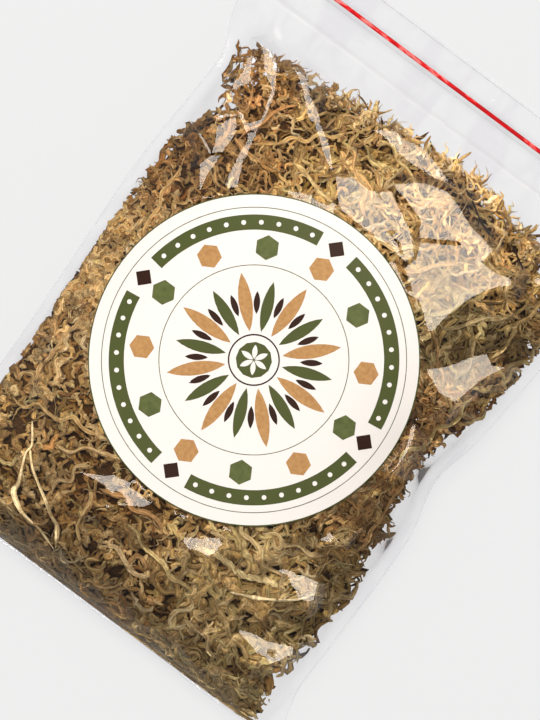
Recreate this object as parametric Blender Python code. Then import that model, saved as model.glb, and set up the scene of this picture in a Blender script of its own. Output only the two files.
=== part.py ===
"""Clear press-seal film bag filled with dried sphagnum moss, lying on its back.

Metres, +Z up. The bag's length runs along Y (fold at -Y, mouth at +Y) and its
width along X. The origin is on the surface it lies on, under the middle of the
bag. Lengths below are in millimetres and are scaled once, when a mesh is made.
"""
import math
import random

import bmesh
import bpy

MM = 0.001

# ------------------------------------------------------------ driving sizes
BAG_LENGTH = 350.0          # fold to lip
WALL = 0.45                 # stand-in wall; the real film is about 0.08
WELD = 3.5                  # width of the side welds
LIP = 14.3                  # lip above the press-seal
SEAL_Y = BAG_LENGTH / 2 - LIP
SEAL_Z = 7.0                # height of the press-seal above the surface
SEAL_GAP = 3.5              # space between the walls that the press-seal fills
TAPE_BELOW = 19.0           # press-seal tape below the bead
TAPE_ABOVE = 4.0
LABEL_X, LABEL_Y = -5.8, -19.0
LABEL_RADIUS = 87.0
LABEL_THICK = 0.35
MOSS_SPACE = 4.3            # depth of the loose surface layer of moss
GAP = 0.3                   # kept between touching pieces

# The bag's side edges, (Y, X): the film pulls in where the moss fills it and is
# flat, so at its full width, at the fold's corners and at the mouth.
LEFT_EDGE = ((-175, -125), (-160, -119), (-130, -113.5), (-100, -112), (-22, -115.5),
             (32, -118), (97, -116), (127, -127), (141, -129), (175, -129))
RIGHT_EDGE = ((-175, 127), (-160, 121), (-140, 117), (-80, 117.5), (-47, 116.5),
              (-12, 109.5), (13, 114), (66, 118.5), (97, 120.5), (127, 127.5),
              (141, 129), (175, 129))
# Height of the weld plane, and how far the front and the back bulge from it.
MID_HEIGHT = ((-175, 17), (-150, 20), (-100, 23), (60, 24), (100, 20), (128, 11),
              (141, SEAL_Z), (175, SEAL_Z))
FRONT_BULGE = ((-174, 0), (-171.5, 8), (-166, 15), (-150, 24), (-120, 32), (-60, 36),
               (20, 37), (70, 33), (105, 23), (128, 9), (141, 0.4), (145, 0), (175, 0))
BACK_BULGE = ((-174, 0), (-171.5, 6), (-166, 11), (-150, 18), (-110, 27), (-60, 31),
              (60, 31), (100, 25), (128, 9), (141, 0.4), (145, 0), (175, 0))
SLOT = ((-174, 0), (-160, 1), (100, 1), (141, SEAL_GAP), (167, SEAL_GAP), (175, 1.2))
# Upper limit of the moss, (X, Y).
MOSS_TOP = ((-112, 106), (-104, 114), (-59, 118), (6, 126), (24, 129), (51, 123),
            (77, 119), (112, 108))
DOME = 3.4                  # how flat the bag's middle is across its width


# ------------------------------------------------------------ shape functions
def curve(table, t):
    """Smooth value at t of a table of (t, value), level at each local extreme."""
    if t <= table[0][0]:
        return float(table[0][1])
    if t >= table[-1][0]:
        return float(table[-1][1])
    slopes = [(b[1] - a[1]) / (b[0] - a[0]) for a, b in zip(table, table[1:])]

    def tangent(i):
        if i == 0 or i == len(table) - 1:
            return slopes[0] if i == 0 else slopes[-1]
        before, after = slopes[i - 1], slopes[i]
        if before * after <= 0:
            return 0.0
        return 2 * before * after / (before + after)

    for i in range(len(table) - 1):
        (t0, v0), (t1, v1) = table[i], table[i + 1]
        if t <= t1:
            w = t1 - t0
            u = (t - t0) / w
            m0, m1 = tangent(i) * w, tangent(i + 1) * w
            return (v0 * (2 * u**3 - 3 * u**2 + 1) + m0 * (u**3 - 2 * u**2 + u)
                    + v1 * (3 * u**2 - 2 * u**3) + m1 * (u**3 - u**2))
    return float(table[-1][1])


def across(x, y):
    """-1 at the left weld's inner edge, 1 at the right one's."""
    left, right = curve(LEFT_EDGE, y) + WELD, curve(RIGHT_EDGE, y) - WELD
    return (2 * x - left - right) / (right - left)


def dome(x, y):
    return max(0.0, 1 - abs(across(x, y)) ** DOME)


def slot_half(x, y):
    """Half the space that the walls leave between them where nothing fills it."""
    s = min(1.0, abs(across(x, y)))
    return curve(SLOT, y) / 2 * min(1.0, (1 - s) / 0.012)


def front_inner(x, y):
    return curve(MID_HEIGHT, y) + slot_half(x, y) + curve(FRONT_BULGE, y) * dome(x, y)


def back_inner(x, y):
    z = curve(MID_HEIGHT, y) - slot_half(x, y) - curve(BACK_BULGE, y) * dome(x, y)
    return max(WALL, z)


# ------------------------------------------------------------ making objects
def surface(name, colour, rough, metal=0.0, alpha=1.0):
    mat = bpy.data.materials.new(name)
    mat.use_nodes = True
    node = mat.node_tree.nodes["Principled BSDF"]
    node.inputs["Base Color"].default_value = (*colour, 1)
    node.inputs["Roughness"].default_value = rough
    node.inputs["Metallic"].default_value = metal
    node.inputs["Alpha"].default_value = alpha
    return mat


def add_object(name, bm, mat, smooth=False):
    bmesh.ops.recalc_face_normals(bm, faces=bm.faces)
    bmesh.ops.scale(bm, vec=(MM, MM, MM), verts=bm.verts)
    mesh = bpy.data.meshes.new(name)
    bm.to_mesh(mesh)
    bm.free()
    mesh.materials.append(mat)
    if smooth:
        mesh.shade_smooth()
    obj = bpy.data.objects.new(name, mesh)
    bpy.context.scene.collection.objects.link(obj)
    obj.parent = bag
    return obj


def quad(bm, a, b, c, d):
    """Two triangles, always split along a-c, so that facing walls stay parallel."""
    for tri in ((a, b, c), (a, c, d)):
        if len(set(tri)) == 3:
            bm.faces.new(tri)


# ------------------------------------------------------------ start
for old in list(bpy.data.objects):
    bpy.data.objects.remove(old, do_unlink=True)
bag = bpy.data.objects.new("bag", None)
bpy.context.scene.collection.objects.link(bag)

CLEAR = surface("clear_film", (0.92, 0.92, 0.93), 0.12, alpha=0.25)
RED = surface("red_seal", (0.62, 0.01, 0.015), 0.35)
PAPER = surface("cream_paper", (0.91, 0.87, 0.76), 0.6)
MOSS = surface("dried_moss", (0.36, 0.25, 0.11), 0.95)
STRAW = surface("straw", (0.62, 0.50, 0.28), 0.85)
DARK = surface("dark_stem", (0.09, 0.05, 0.03), 0.8)


# ------------------------------------------------------------ bag_film
def film_rows():
    low = [-175, -174, -171.5, -166, -158, -147, -134]
    mid = [-134 + 232 * i / 16 for i in range(1, 17)]
    high = [110, 120, 130, SEAL_Y - TAPE_BELOW - 1, SEAL_Y - 5, SEAL_Y + 5, 175]
    return low + mid + high


def film_columns(y, count=16):
    left, right = curve(LEFT_EDGE, y), curve(RIGHT_EDGE, y)
    inner = WELD + 2.0
    xs = [left, left + WELD]
    for i in range(count + 1):
        t = i / count
        t = t + 0.09 * math.sin(2 * math.pi * t) / (2 * math.pi) * -1
        xs.append(left + inner + (right - left - 2 * inner) * t)
    return xs + [right - WELD, right]


def make_film():
    bm = bmesh.new()
    rows = film_rows()
    out_f, out_b, in_f, in_b = [], [], [], []
    for j, y in enumerate(rows):
        xs = film_columns(y)
        last = len(xs) - 1
        f_row, b_row, fi_row, bi_row = [], [], {}, {}
        for i, x in enumerate(xs):
            mid = curve(MID_HEIGHT, y)
            flat = j <= 1 or i <= 1 or i >= last - 1
            top = mid if flat else front_inner(x, y)
            bot = mid if flat else back_inner(x, y)
            f_row.append(bm.verts.new((x, y, top + WALL)))
            b_row.append(bm.verts.new((x, y, bot - WALL)))
            if j >= 1 and 1 <= i <= last - 1:
                v = bm.verts.new((x, y, top))
                fi_row[i] = v
                bi_row[i] = v if flat else bm.verts.new((x, y, bot))
        out_f.append(f_row), out_b.append(b_row)
        in_f.append(fi_row), in_b.append(bi_row)
    n = len(out_f[0]) - 1
    top = len(rows) - 1
    for j in range(top):
        for i in range(n):
            quad(bm, out_f[j][i], out_f[j][i + 1], out_f[j + 1][i + 1], out_f[j + 1][i])
            quad(bm, out_b[j][i], out_b[j][i + 1], out_b[j + 1][i + 1], out_b[j + 1][i])
            if j >= 1 and 1 <= i <= n - 2:
                for grid in (in_f, in_b):
                    corners = [grid[j][i], grid[j][i + 1], grid[j + 1][i + 1], grid[j + 1][i]]
                    if j == 1 and i == n - 2:  # split from the cavity's corner
                        corners = corners[1:] + corners[:1]
                    quad(bm, *corners)
        for i in (0, n):
            quad(bm, out_f[j][i], out_f[j + 1][i], out_b[j + 1][i], out_b[j][i])
    for i in range(n):
        quad(bm, out_f[0][i], out_f[0][i + 1], out_b[0][i + 1], out_b[0][i])
        if 1 <= i <= n - 2:
            quad(bm, out_f[top][i], out_f[top][i + 1], in_f[top][i + 1], in_f[top][i])
            quad(bm, out_b[top][i], out_b[top][i + 1], in_b[top][i + 1], in_b[top][i])
    for a, b in ((0, 1), (n, n - 1)):
        f0, f1, b0, b1 = out_f[top][a], out_f[top][b], out_b[top][a], out_b[top][b]
        centre = in_f[top][b]
        for tri in ((f0, f1, centre), (f0, centre, b0), (b0, centre, b1)):
            bm.faces.new(tri)
    return add_object("bag_film", bm, CLEAR)


# ------------------------------------------------------------ press-seal
# Profiles across the seal, (Y, Z) from the bead's centre: the front tape has a
# groove with two hooked jaws, and the back tape a rib whose head they hold.
GROOVE = ((-TAPE_BELOW, 1.3), (TAPE_ABOVE, 1.3), (TAPE_ABOVE, 0.8), (1.5, 0.8),
          (1.5, -0.6), (0.55, -0.6), (0.55, -0.2), (0.9, -0.2), (0.9, 0.8),
          (-0.9, 0.8), (-0.9, -0.2), (-0.55, -0.2), (-0.55, -0.6), (-1.5, -0.6),
          (-1.5, 0.8), (-TAPE_BELOW, 0.8))
RIB = ((-TAPE_BELOW, -1.4), (TAPE_ABOVE, -1.4), (TAPE_ABOVE, -0.9), (0.25, -0.9),
       (0.25, 0.1), (0.6, 0.1), (0.6, 0.3), (0.3, 0.5), (-0.3, 0.5), (-0.6, 0.3),
       (-0.6, 0.1), (-0.25, 0.1), (-0.25, -0.9), (-TAPE_BELOW, -0.9))


def make_seal(name, profile):
    bm = bmesh.new()
    end = curve(RIGHT_EDGE, SEAL_Y) - WELD - 3.0
    verts = [bm.verts.new((-end, SEAL_Y + y, SEAL_Z + z)) for y, z in profile]
    face = bm.faces.new(verts)
    made = bmesh.ops.extrude_face_region(bm, geom=[face])
    moved = [v for v in made["geom"] if isinstance(v, bmesh.types.BMVert)]
    bmesh.ops.translate(bm, vec=(2 * end, 0, 0), verts=moved)
    bmesh.ops.triangulate(bm, faces=bm.faces)
    return add_object(name, bm, RED)


# ------------------------------------------------------------ label
def make_label():
    """A paper disc that follows the dome of the front wall."""
    bm = bmesh.new()
    rings, spokes = 5, 40
    lift = WALL + 0.75

    def ring_points(r, z_add):
        pts = []
        for k in range(spokes):
            a = 2 * math.pi * k / spokes
            x, y = LABEL_X + r * math.cos(a), LABEL_Y + r * math.sin(a)
            pts.append(bm.verts.new((x, y, front_inner(x, y) + z_add)))
        return pts

    layers = []
    for z_add in (lift, lift + LABEL_THICK):
        centre = bm.verts.new((LABEL_X, LABEL_Y, front_inner(LABEL_X, LABEL_Y) + z_add))
        grid = [ring_points(LABEL_RADIUS * (i + 1) / rings, z_add) for i in range(rings)]
        for k in range(spokes):
            m = (k + 1) % spokes
            bm.faces.new((centre, grid[0][k], grid[0][m]))
            for a, b in zip(grid, grid[1:]):
                quad(bm, a[k], b[k], b[m], a[m])
        layers.append(grid[-1])
    low, high = layers
    for k in range(spokes):
        m = (k + 1) % spokes
        quad(bm, low[k], low[m], high[m], high[k])
    return add_object("label", bm, PAPER)


# ------------------------------------------------------------ moss_mass
def make_mass():
    """The packed tangle: everything below the loose surface layer."""
    bm = bmesh.new()
    nx, ny = 18, 22
    rng = random.Random(7)
    lumps = [(rng.uniform(-110, 110), rng.uniform(-160, 120), rng.uniform(7, 16),
              rng.uniform(0.6, 2.4)) for _ in range(110)]

    def lump(x, y):
        return sum(h * math.exp(-((x - u) ** 2 + (y - v) ** 2) / (r * r))
                   for u, v, r, h in lumps)

    top, low = [], []
    for j in range(ny + 1):
        q = -1 + 2 * j / ny
        t_row, b_row = [], []
        for i in range(nx + 1):
            p = -1 + 2 * i / nx
            # a rectangle with well-rounded corners
            sx = p * math.sqrt(1 - 0.30 * q**8)
            sy = q * math.sqrt(1 - 0.16 * p**8)
            y_hi = curve(MOSS_TOP, 104 * sx) - 3
            y = -167 + (y_hi + 167) * (sy + 1) / 2
            left, right = curve(LEFT_EDGE, y) + 10, curve(RIGHT_EDGE, y) - 10
            x = left + (right - left) * (sx + 1) / 2
            hi = front_inner(x, y) - GAP - 0.35 - MOSS_SPACE
            lo = back_inner(x, y) + GAP + 0.6
            mid = 0.45 * front_inner(x, y) + 0.55 * back_inner(x, y)
            hi = max(mid + 0.6, hi - lump(x, y))
            lo = min(mid - 0.6, lo)
            t_row.append(bm.verts.new((x, y, hi)))
            b_row.append(bm.verts.new((x, y, lo)))
        top.append(t_row), low.append(b_row)
    for j in range(ny):
        for i in range(nx):
            for g in (top, low):
                quad(bm, g[j][i], g[j][i + 1], g[j + 1][i + 1], g[j + 1][i])
        for i in (0, nx):
            quad(bm, top[j][i], top[j + 1][i], low[j + 1][i], low[j][i])
    for j in (0, ny):
        for i in range(nx):
            quad(bm, top[j][i], top[j][i + 1], low[j][i + 1], low[j][i])
    return add_object("moss_mass", bm, MOSS)


# ------------------------------------------------------------ loose stems
def smooth_route(points, step):
    """Evenly spaced points along a Catmull-Rom curve through points."""
    pts = [points[0]] + list(points) + [points[-1]]
    dense = []
    for k in range(1, len(pts) - 2):
        p0, p1, p2, p3 = pts[k - 1:k + 3]
        for n in range(24):
            t = n / 24
            dense.append(tuple(
                0.5 * (2 * b + (c - a) * t + (2 * a - 5 * b + 4 * c - d) * t * t
                       + (3 * b - a - 3 * c + d) * t**3)
                for a, b, c, d in zip(p0, p1, p2, p3)))
    dense.append(tuple(points[-1]))
    total = sum(math.dist(a, b) for a, b in zip(dense, dense[1:]))
    count = max(3, round(total / step))
    out, run, k = [dense[0]], 0.0, 0
    for n in range(1, count):
        want = total * n / count
        while run + math.dist(dense[k], dense[k + 1]) < want:
            run += math.dist(dense[k], dense[k + 1])
            k += 1
        seg = math.dist(dense[k], dense[k + 1])
        f = (want - run) / seg if seg else 0
        out.append(tuple(a + (b - a) * f for a, b in zip(dense[k], dense[k + 1])))
    return out + [dense[-1]]


def wander(rng, x, y, heading, length, wave):
    """A wavy stem's route in the plane of the film."""
    pts, phase, pace = [], rng.uniform(0, 6.3), rng.uniform(14, 22)
    steps = max(4, int(length / 7))
    drift = rng.uniform(-0.012, 0.012)
    for n in range(steps + 1):
        pts.append((x, y))
        a = heading + drift * n * 7 + wave * math.sin(phase + n * 7 / pace * 2 * math.pi)
        x += length / steps * math.cos(a)
        y += length / steps * math.sin(a)
    return pts


def stem_free(route, radius, taken):
    for x, y in route:
        if abs(across(x, y)) > 0.90 or y < -162 or y > curve(MOSS_TOP, x) - 6:
            return False
        if math.hypot(x - LABEL_X, y - LABEL_Y) < LABEL_RADIUS - 6:
            return False
        for other, r in taken:
            if any(math.dist((x, y), o) < radius + r + 1.6 for o in other):
                return False
    return True


# Stems that the moss shows plainly at its face: name, radius, route, material.
NAMED_STEMS = (
    ("straw_stem_left", 1.0, ((-80, -115), (-74, -125), (-68, -141), (-65, -149),
                              (-52, -156), (-36, -157)), STRAW),
    ("straw_stem_right", 1.0, ((-66, -130), (-60, -137), (-50, -143), (-40, -148),
                               (-31, -150)), STRAW),
    ("straw_stem_low", 0.9, ((57, -124), (72, -117), (87, -107), (94, -97)), STRAW),
    ("dark_stem_upper", 0.8, ((30, 120), (38, 116), (46, 111), (55, 108)), DARK),
    ("dark_stem_lower", 0.8, ((66, 111), (72, 108), (79, 104)), DARK),
    ("rope_strand", 1.7, ((28, -116), (42, -112), (56, -113), (68, -108), (78, -106)),
     MOSS),
)


def tube(name, route, radius, mat, sides=6):
    """A closed stem just under the front wall, tapering to blunt ends."""
    bm = bmesh.new()
    rings = []
    last = len(route) - 1
    for n, (x, y) in enumerate(route):
        x0, y0 = route[max(0, n - 1)]
        x1, y1 = route[min(last, n + 1)]
        a = math.atan2(y1 - y0, x1 - x0) + math.pi / 2
        r = radius * (0.55 if n in (0, last) else 1.0)
        z = min(front_inner(x + k * radius * math.cos(a), y + k * radius * math.sin(a))
                for k in (-1, 0, 1)) - GAP - 0.35 - radius
        ring = []
        for k in range(sides):
            b = 2 * math.pi * (k + 0.5) / sides
            ring.append(bm.verts.new((x + r * math.cos(b) * math.cos(a),
                                      y + r * math.cos(b) * math.sin(a),
                                      z + r * math.sin(b))))
        rings.append(ring)
    for a, b in zip(rings, rings[1:]):
        for k in range(sides):
            m = (k + 1) % sides
            quad(bm, a[k], a[m], b[m], b[k])
    for ring in (rings[0], rings[-1]):
        bmesh.ops.triangulate(bm, faces=[bm.faces.new(ring)])
    return add_object(name, bm, mat, smooth=True)


def make_stems():
    taken = []
    for name, radius, route, mat in NAMED_STEMS:
        pts = smooth_route(route, 6.5)
        tube(name, pts, radius, mat)
        taken.append((smooth_route(route, 2.0), radius))
    rng = random.Random(21)
    made, tries = 0, 0
    while made < 36 and tries < 20000:
        tries += 1
        radius = rng.uniform(1.3, 1.75)
        x, y = rng.uniform(-108, 108), rng.uniform(-158, 122)
        points = wander(rng, x, y, rng.uniform(0, 2 * math.pi),
                        rng.uniform(30, 62), rng.uniform(0.2, 0.75))
        fine = smooth_route(points, 2.5)
        if not stem_free(fine, radius, taken):
            continue
        taken.append((fine, radius))
        made += 1
        tube(f"moss_strand_{made:02d}", smooth_route(points, 6.5), radius, MOSS)


make_film()
make_seal("zip_track_front", GROOVE)
make_seal("zip_track_back", RIB)
make_label()
make_mass()
make_stems()
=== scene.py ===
import math
import random

import bmesh
import bpy
import numpy as np
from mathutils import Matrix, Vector
from mathutils.geometry import delaunay_2d_cdt


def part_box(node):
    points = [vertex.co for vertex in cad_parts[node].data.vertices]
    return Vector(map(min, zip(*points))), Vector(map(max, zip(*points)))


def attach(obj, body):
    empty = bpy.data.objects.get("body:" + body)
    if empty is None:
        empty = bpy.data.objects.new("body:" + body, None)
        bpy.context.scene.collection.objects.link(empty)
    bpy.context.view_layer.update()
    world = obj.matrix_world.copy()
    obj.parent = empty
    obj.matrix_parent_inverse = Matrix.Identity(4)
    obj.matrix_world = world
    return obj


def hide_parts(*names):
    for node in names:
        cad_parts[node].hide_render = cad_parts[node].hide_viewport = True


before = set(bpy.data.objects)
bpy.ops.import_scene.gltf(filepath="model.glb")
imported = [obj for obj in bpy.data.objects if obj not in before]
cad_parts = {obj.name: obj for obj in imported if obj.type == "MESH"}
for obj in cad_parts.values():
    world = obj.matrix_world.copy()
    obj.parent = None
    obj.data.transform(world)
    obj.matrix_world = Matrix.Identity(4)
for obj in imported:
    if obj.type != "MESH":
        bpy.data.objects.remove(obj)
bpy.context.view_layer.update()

MM = 0.001

# =====================================================================
# The bag's shape, in millimetres, as the CAD model has it
# =====================================================================
BAG_LENGTH = 350.0
WALL = 0.45
WELD = 3.5
LIP = 14.3
SEAL_Y = BAG_LENGTH / 2 - LIP
SEAL_Z = 7.0
SEAL_GAP = 3.5
LABEL_X, LABEL_Y, LABEL_R = -5.8, -19.0, 87.0
DOME = 3.4

LEFT_EDGE = ((-175, -125), (-160, -119), (-130, -113.5), (-100, -112), (-22, -115.5),
             (32, -118), (97, -116), (127, -127), (141, -129), (175, -129))
RIGHT_EDGE = ((-175, 127), (-160, 121), (-140, 117), (-80, 117.5), (-47, 116.5),
              (-12, 109.5), (13, 114), (66, 118.5), (97, 120.5), (127, 127.5),
              (141, 129), (175, 129))
MID_HEIGHT = ((-175, 17), (-150, 20), (-100, 23), (60, 24), (100, 20), (128, 11),
              (141, SEAL_Z), (175, SEAL_Z))
FRONT_BULGE = ((-174, 0), (-171.5, 8), (-166, 15), (-150, 24), (-120, 32), (-60, 36),
               (20, 37), (70, 33), (105, 23), (128, 9), (141, 0.4), (145, 0), (175, 0))
BACK_BULGE = ((-174, 0), (-171.5, 6), (-166, 11), (-150, 18), (-110, 27), (-60, 31),
              (60, 31), (100, 25), (128, 9), (141, 0.4), (145, 0), (175, 0))
SLOT = ((-174, 0), (-160, 1), (100, 1), (141, SEAL_GAP), (167, SEAL_GAP), (175, 3.2))
MOSS_TOP = ((-112, 106), (-104, 114), (-59, 118), (6, 126), (24, 129), (51, 123),
            (77, 119), (112, 108))

MOSS_LEFT = ((-175, -119), (-160, -114), (-130, -109.5), (-60, -110), (0, -111),
             (48, -112), (64, -109), (78, -101), (88, -107), (97, -113), (112, -118))
MOSS_RIGHT = ((-175, 108), (-164, 106), (-151, 101), (-137, 103), (-120, 108),
              (-92, 108), (-55, 104), (-16, 97), (-5, 98.7), (8, 101), (18, 104),
              (28, 110), (53, 110.5), (74, 113), (97, 114), (112, 108), (125, 100))


def curve1(table, t):
    """Smooth value at t of a table of (t, value), level at each local extreme."""
    if t <= table[0][0]:
        return float(table[0][1])
    if t >= table[-1][0]:
        return float(table[-1][1])
    slopes = [(b[1] - a[1]) / (b[0] - a[0]) for a, b in zip(table, table[1:])]

    def tangent(i):
        if i == 0 or i == len(table) - 1:
            return slopes[0] if i == 0 else slopes[-1]
        before, after = slopes[i - 1], slopes[i]
        if before * after <= 0:
            return 0.0
        return 2 * before * after / (before + after)

    for i in range(len(table) - 1):
        (t0, v0), (t1, v1) = table[i], table[i + 1]
        if t <= t1:
            w = t1 - t0
            u = (t - t0) / w
            m0, m1 = tangent(i) * w, tangent(i + 1) * w
            return (v0 * (2 * u**3 - 3 * u**2 + 1) + m0 * (u**3 - 2 * u**2 + u)
                    + v1 * (3 * u**2 - 2 * u**3) + m1 * (u**3 - u**2))
    return float(table[-1][1])


AXIS = np.arange(-200.0, 200.01, 0.5)


def lookup(table):
    values = np.array([curve1(table, t) for t in AXIS])
    return lambda t: np.interp(t, AXIS, values)


left_edge, right_edge = lookup(LEFT_EDGE), lookup(RIGHT_EDGE)
mid_height, front_bulge = lookup(MID_HEIGHT), lookup(FRONT_BULGE)
back_bulge, slot = lookup(BACK_BULGE), lookup(SLOT)
moss_top = lookup(MOSS_TOP)
moss_left, moss_right = lookup(MOSS_LEFT), lookup(MOSS_RIGHT)


def across(x, y):
    lo, hi = left_edge(y) + WELD, right_edge(y) - WELD
    return (2 * x - lo - hi) / (hi - lo)


def dome(x, y):
    return np.maximum(0.0, 1 - np.abs(across(x, y)) ** DOME)


def slot_half(x, y):
    s = np.minimum(1.0, np.abs(across(x, y)))
    return slot(y) / 2 * np.minimum(1.0, (1 - s) / 0.012)


def front_base(x, y):
    """Height of the front wall where nothing wrinkles it."""
    return mid_height(y) + slot_half(x, y) + front_bulge(y) * dome(x, y) + WALL


def back_base(x, y):
    z = mid_height(y) - slot_half(x, y) - back_bulge(y) * dome(x, y) - WALL
    return np.maximum(0.0, z)


# Where a point of the photograph's frame lies on the bag, in millimetres.
TURN_C, TURN_S = 0.8007, 0.5990
PX = 0.527


def at(px, py):
    u, v = TURN_C * px + TURN_S * py, TURN_S * px - TURN_C * py
    return (u - 430.0) * PX, (v + 100.0) * PX


# =====================================================================
# Helpers
# =====================================================================
def smooth_noise(shape, cells, rng):
    """Bicubic-looking value noise over a grid: shape (rows, cols), cells (rows, cols)."""
    a = rng.normal(size=(cells[0] + 3, cells[1] + 3))
    ys = np.linspace(0, cells[0], shape[0]) + 1
    xs = np.linspace(0, cells[1], shape[1]) + 1
    yi, xi = np.minimum(ys.astype(int), cells[0]), np.minimum(xs.astype(int), cells[1])
    fy, fx = ys - yi, xs - xi
    fy, fx = fy * fy * (3 - 2 * fy), fx * fx * (3 - 2 * fx)
    fy, fx = fy[:, None], fx[None, :]
    p = a[yi][:, xi] * (1 - fy) * (1 - fx) + a[yi + 1][:, xi] * fy * (1 - fx)
    return p + a[yi][:, xi + 1] * (1 - fy) * fx + a[yi + 1][:, xi + 1] * fy * fx


def blur(z, sigma, axis):
    r = max(1, int(3 * sigma))
    k = np.exp(-0.5 * (np.arange(-r, r + 1) / sigma) ** 2)
    k /= k.sum()
    pad = [(0, 0), (0, 0)]
    pad[axis] = (r, r)
    zp = np.pad(z, pad, mode="edge")
    out = np.zeros_like(z)
    for i, w in enumerate(k):
        out += w * (zp[i:i + z.shape[0], :] if axis == 0 else zp[:, i:i + z.shape[1]])
    return out


def mesh_object(name, verts, faces, mats, smooth=True, uv=None, colour=None, index=None):
    """verts (n, 3) in mm, faces (m, 3 or 4) or a list of such arrays."""
    blocks = faces if isinstance(faces, list) else [faces]
    blocks = [b for b in blocks if len(b)]
    mesh = bpy.data.meshes.new(name)
    verts = np.asarray(verts, np.float64) * MM
    loops = np.concatenate([b.ravel() for b in blocks]).astype(np.int32)
    sizes = np.concatenate([np.full(len(b), b.shape[1], np.int32) for b in blocks])
    mesh.vertices.add(len(verts))
    mesh.vertices.foreach_set("co", verts.astype(np.float32).ravel())
    mesh.loops.add(len(loops))
    mesh.loops.foreach_set("vertex_index", loops)
    mesh.polygons.add(len(sizes))
    starts = np.concatenate([[0], np.cumsum(sizes)[:-1]]).astype(np.int32)
    mesh.polygons.foreach_set("loop_start", starts)
    if index is not None:
        mesh.polygons.foreach_set("material_index", np.asarray(index, np.int32))
    mesh.update(calc_edges=True)
    if uv is not None:
        layer = mesh.uv_layers.new(name="UVMap")
        layer.data.foreach_set("uv", np.asarray(uv, np.float32)[loops].ravel())
    if colour is not None:
        layer = mesh.color_attributes.new("tint", "FLOAT_COLOR", "POINT")
        rgba = np.ones((len(verts), 4), np.float32)
        rgba[:, :colour.shape[1]] = colour
        layer.data.foreach_set("color", rgba.ravel())
    for m in mats:
        mesh.materials.append(m)
    mesh.validate()
    if smooth:
        mesh.shade_smooth()
    obj = bpy.data.objects.new(name, mesh)
    bpy.context.scene.collection.objects.link(obj)
    return obj


def srgb(r, g, b):
    out = []
    for c in (r, g, b):
        c = c / 255
        out.append(c / 12.92 if c <= 0.04045 else ((c + 0.055) / 1.055) ** 2.4)
    return out


class Nodes:
    """A short way to write a material's nodes."""

    def __init__(self, name):
        self.mat = bpy.data.materials.new(name)
        self.mat.use_nodes = True
        self.tree = self.mat.node_tree
        self.tree.nodes.clear()
        self.out = self.tree.nodes.new("ShaderNodeOutputMaterial")

    def new(self, kind, **fields):
        node = self.tree.nodes.new("ShaderNode" + kind)
        inputs = fields.pop("inputs", {})
        for key, value in fields.items():
            setattr(node, key, value)
        for key, value in inputs.items():
            sock = node.inputs[key]
            if isinstance(value, bpy.types.NodeSocket):
                self.tree.links.new(value, sock)
            else:
                sock.default_value = value
        return node

    def math(self, op, a, b=0.0, c=None, clamp=False):
        n = self.new("Math", operation=op, use_clamp=clamp)
        for i, v in enumerate((a, b) if c is None else (a, b, c)):
            if isinstance(v, bpy.types.NodeSocket):
                self.tree.links.new(v, n.inputs[i])
            else:
                n.inputs[i].default_value = v
        return n.outputs[0]

    def mix(self, fac, a, b, blend="MIX"):
        n = self.new("Mix", data_type="RGBA", blend_type=blend, clamp_factor=True)
        for i, v in ((0, fac), (6, a), (7, b)):
            if isinstance(v, bpy.types.NodeSocket):
                self.tree.links.new(v, n.inputs[i])
            elif i == 0:
                n.inputs[0].default_value = v
            else:
                n.inputs[i].default_value = (*v, 1) if len(v) == 3 else v
        return n.outputs[2]

    def ramp(self, fac, stops):
        n = self.new("ValToRGB")
        el = n.color_ramp.elements
        while len(el) < len(stops):
            el.new(0.5)
        for e, (pos, col) in zip(el, stops):
            e.position, e.color = pos, (*col, 1)
        self.tree.links.new(fac, n.inputs[0])
        return n.outputs[0]

    def link(self, a, b):
        self.tree.links.new(a, b)

    def finish(self, shader):
        self.link(shader, self.out.inputs["Surface"])
        return self.mat


# =====================================================================
# Camera: straight down on the bag, turned as in the photograph
# =====================================================================
LENS = 260.0
REF_Z = 34.0 * MM
mid_x, mid_y = at(270, 360)
width = 720 * PX * MM
dist = width * LENS / 36.0
cam_data = bpy.data.cameras.new("camera")
cam_data.lens = LENS
cam_data.sensor_width = 36.0
cam_data.sensor_fit = "AUTO"
cam_data.clip_end = 50.0
cam = bpy.data.objects.new("camera", cam_data)
bpy.context.scene.collection.objects.link(cam)
cam.location = (mid_x * MM, mid_y * MM, REF_Z + dist)
cam.rotation_euler = (0, 0, math.atan2(TURN_S, TURN_C))
bpy.context.scene.camera = cam

# =====================================================================
# Materials
# =====================================================================


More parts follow.
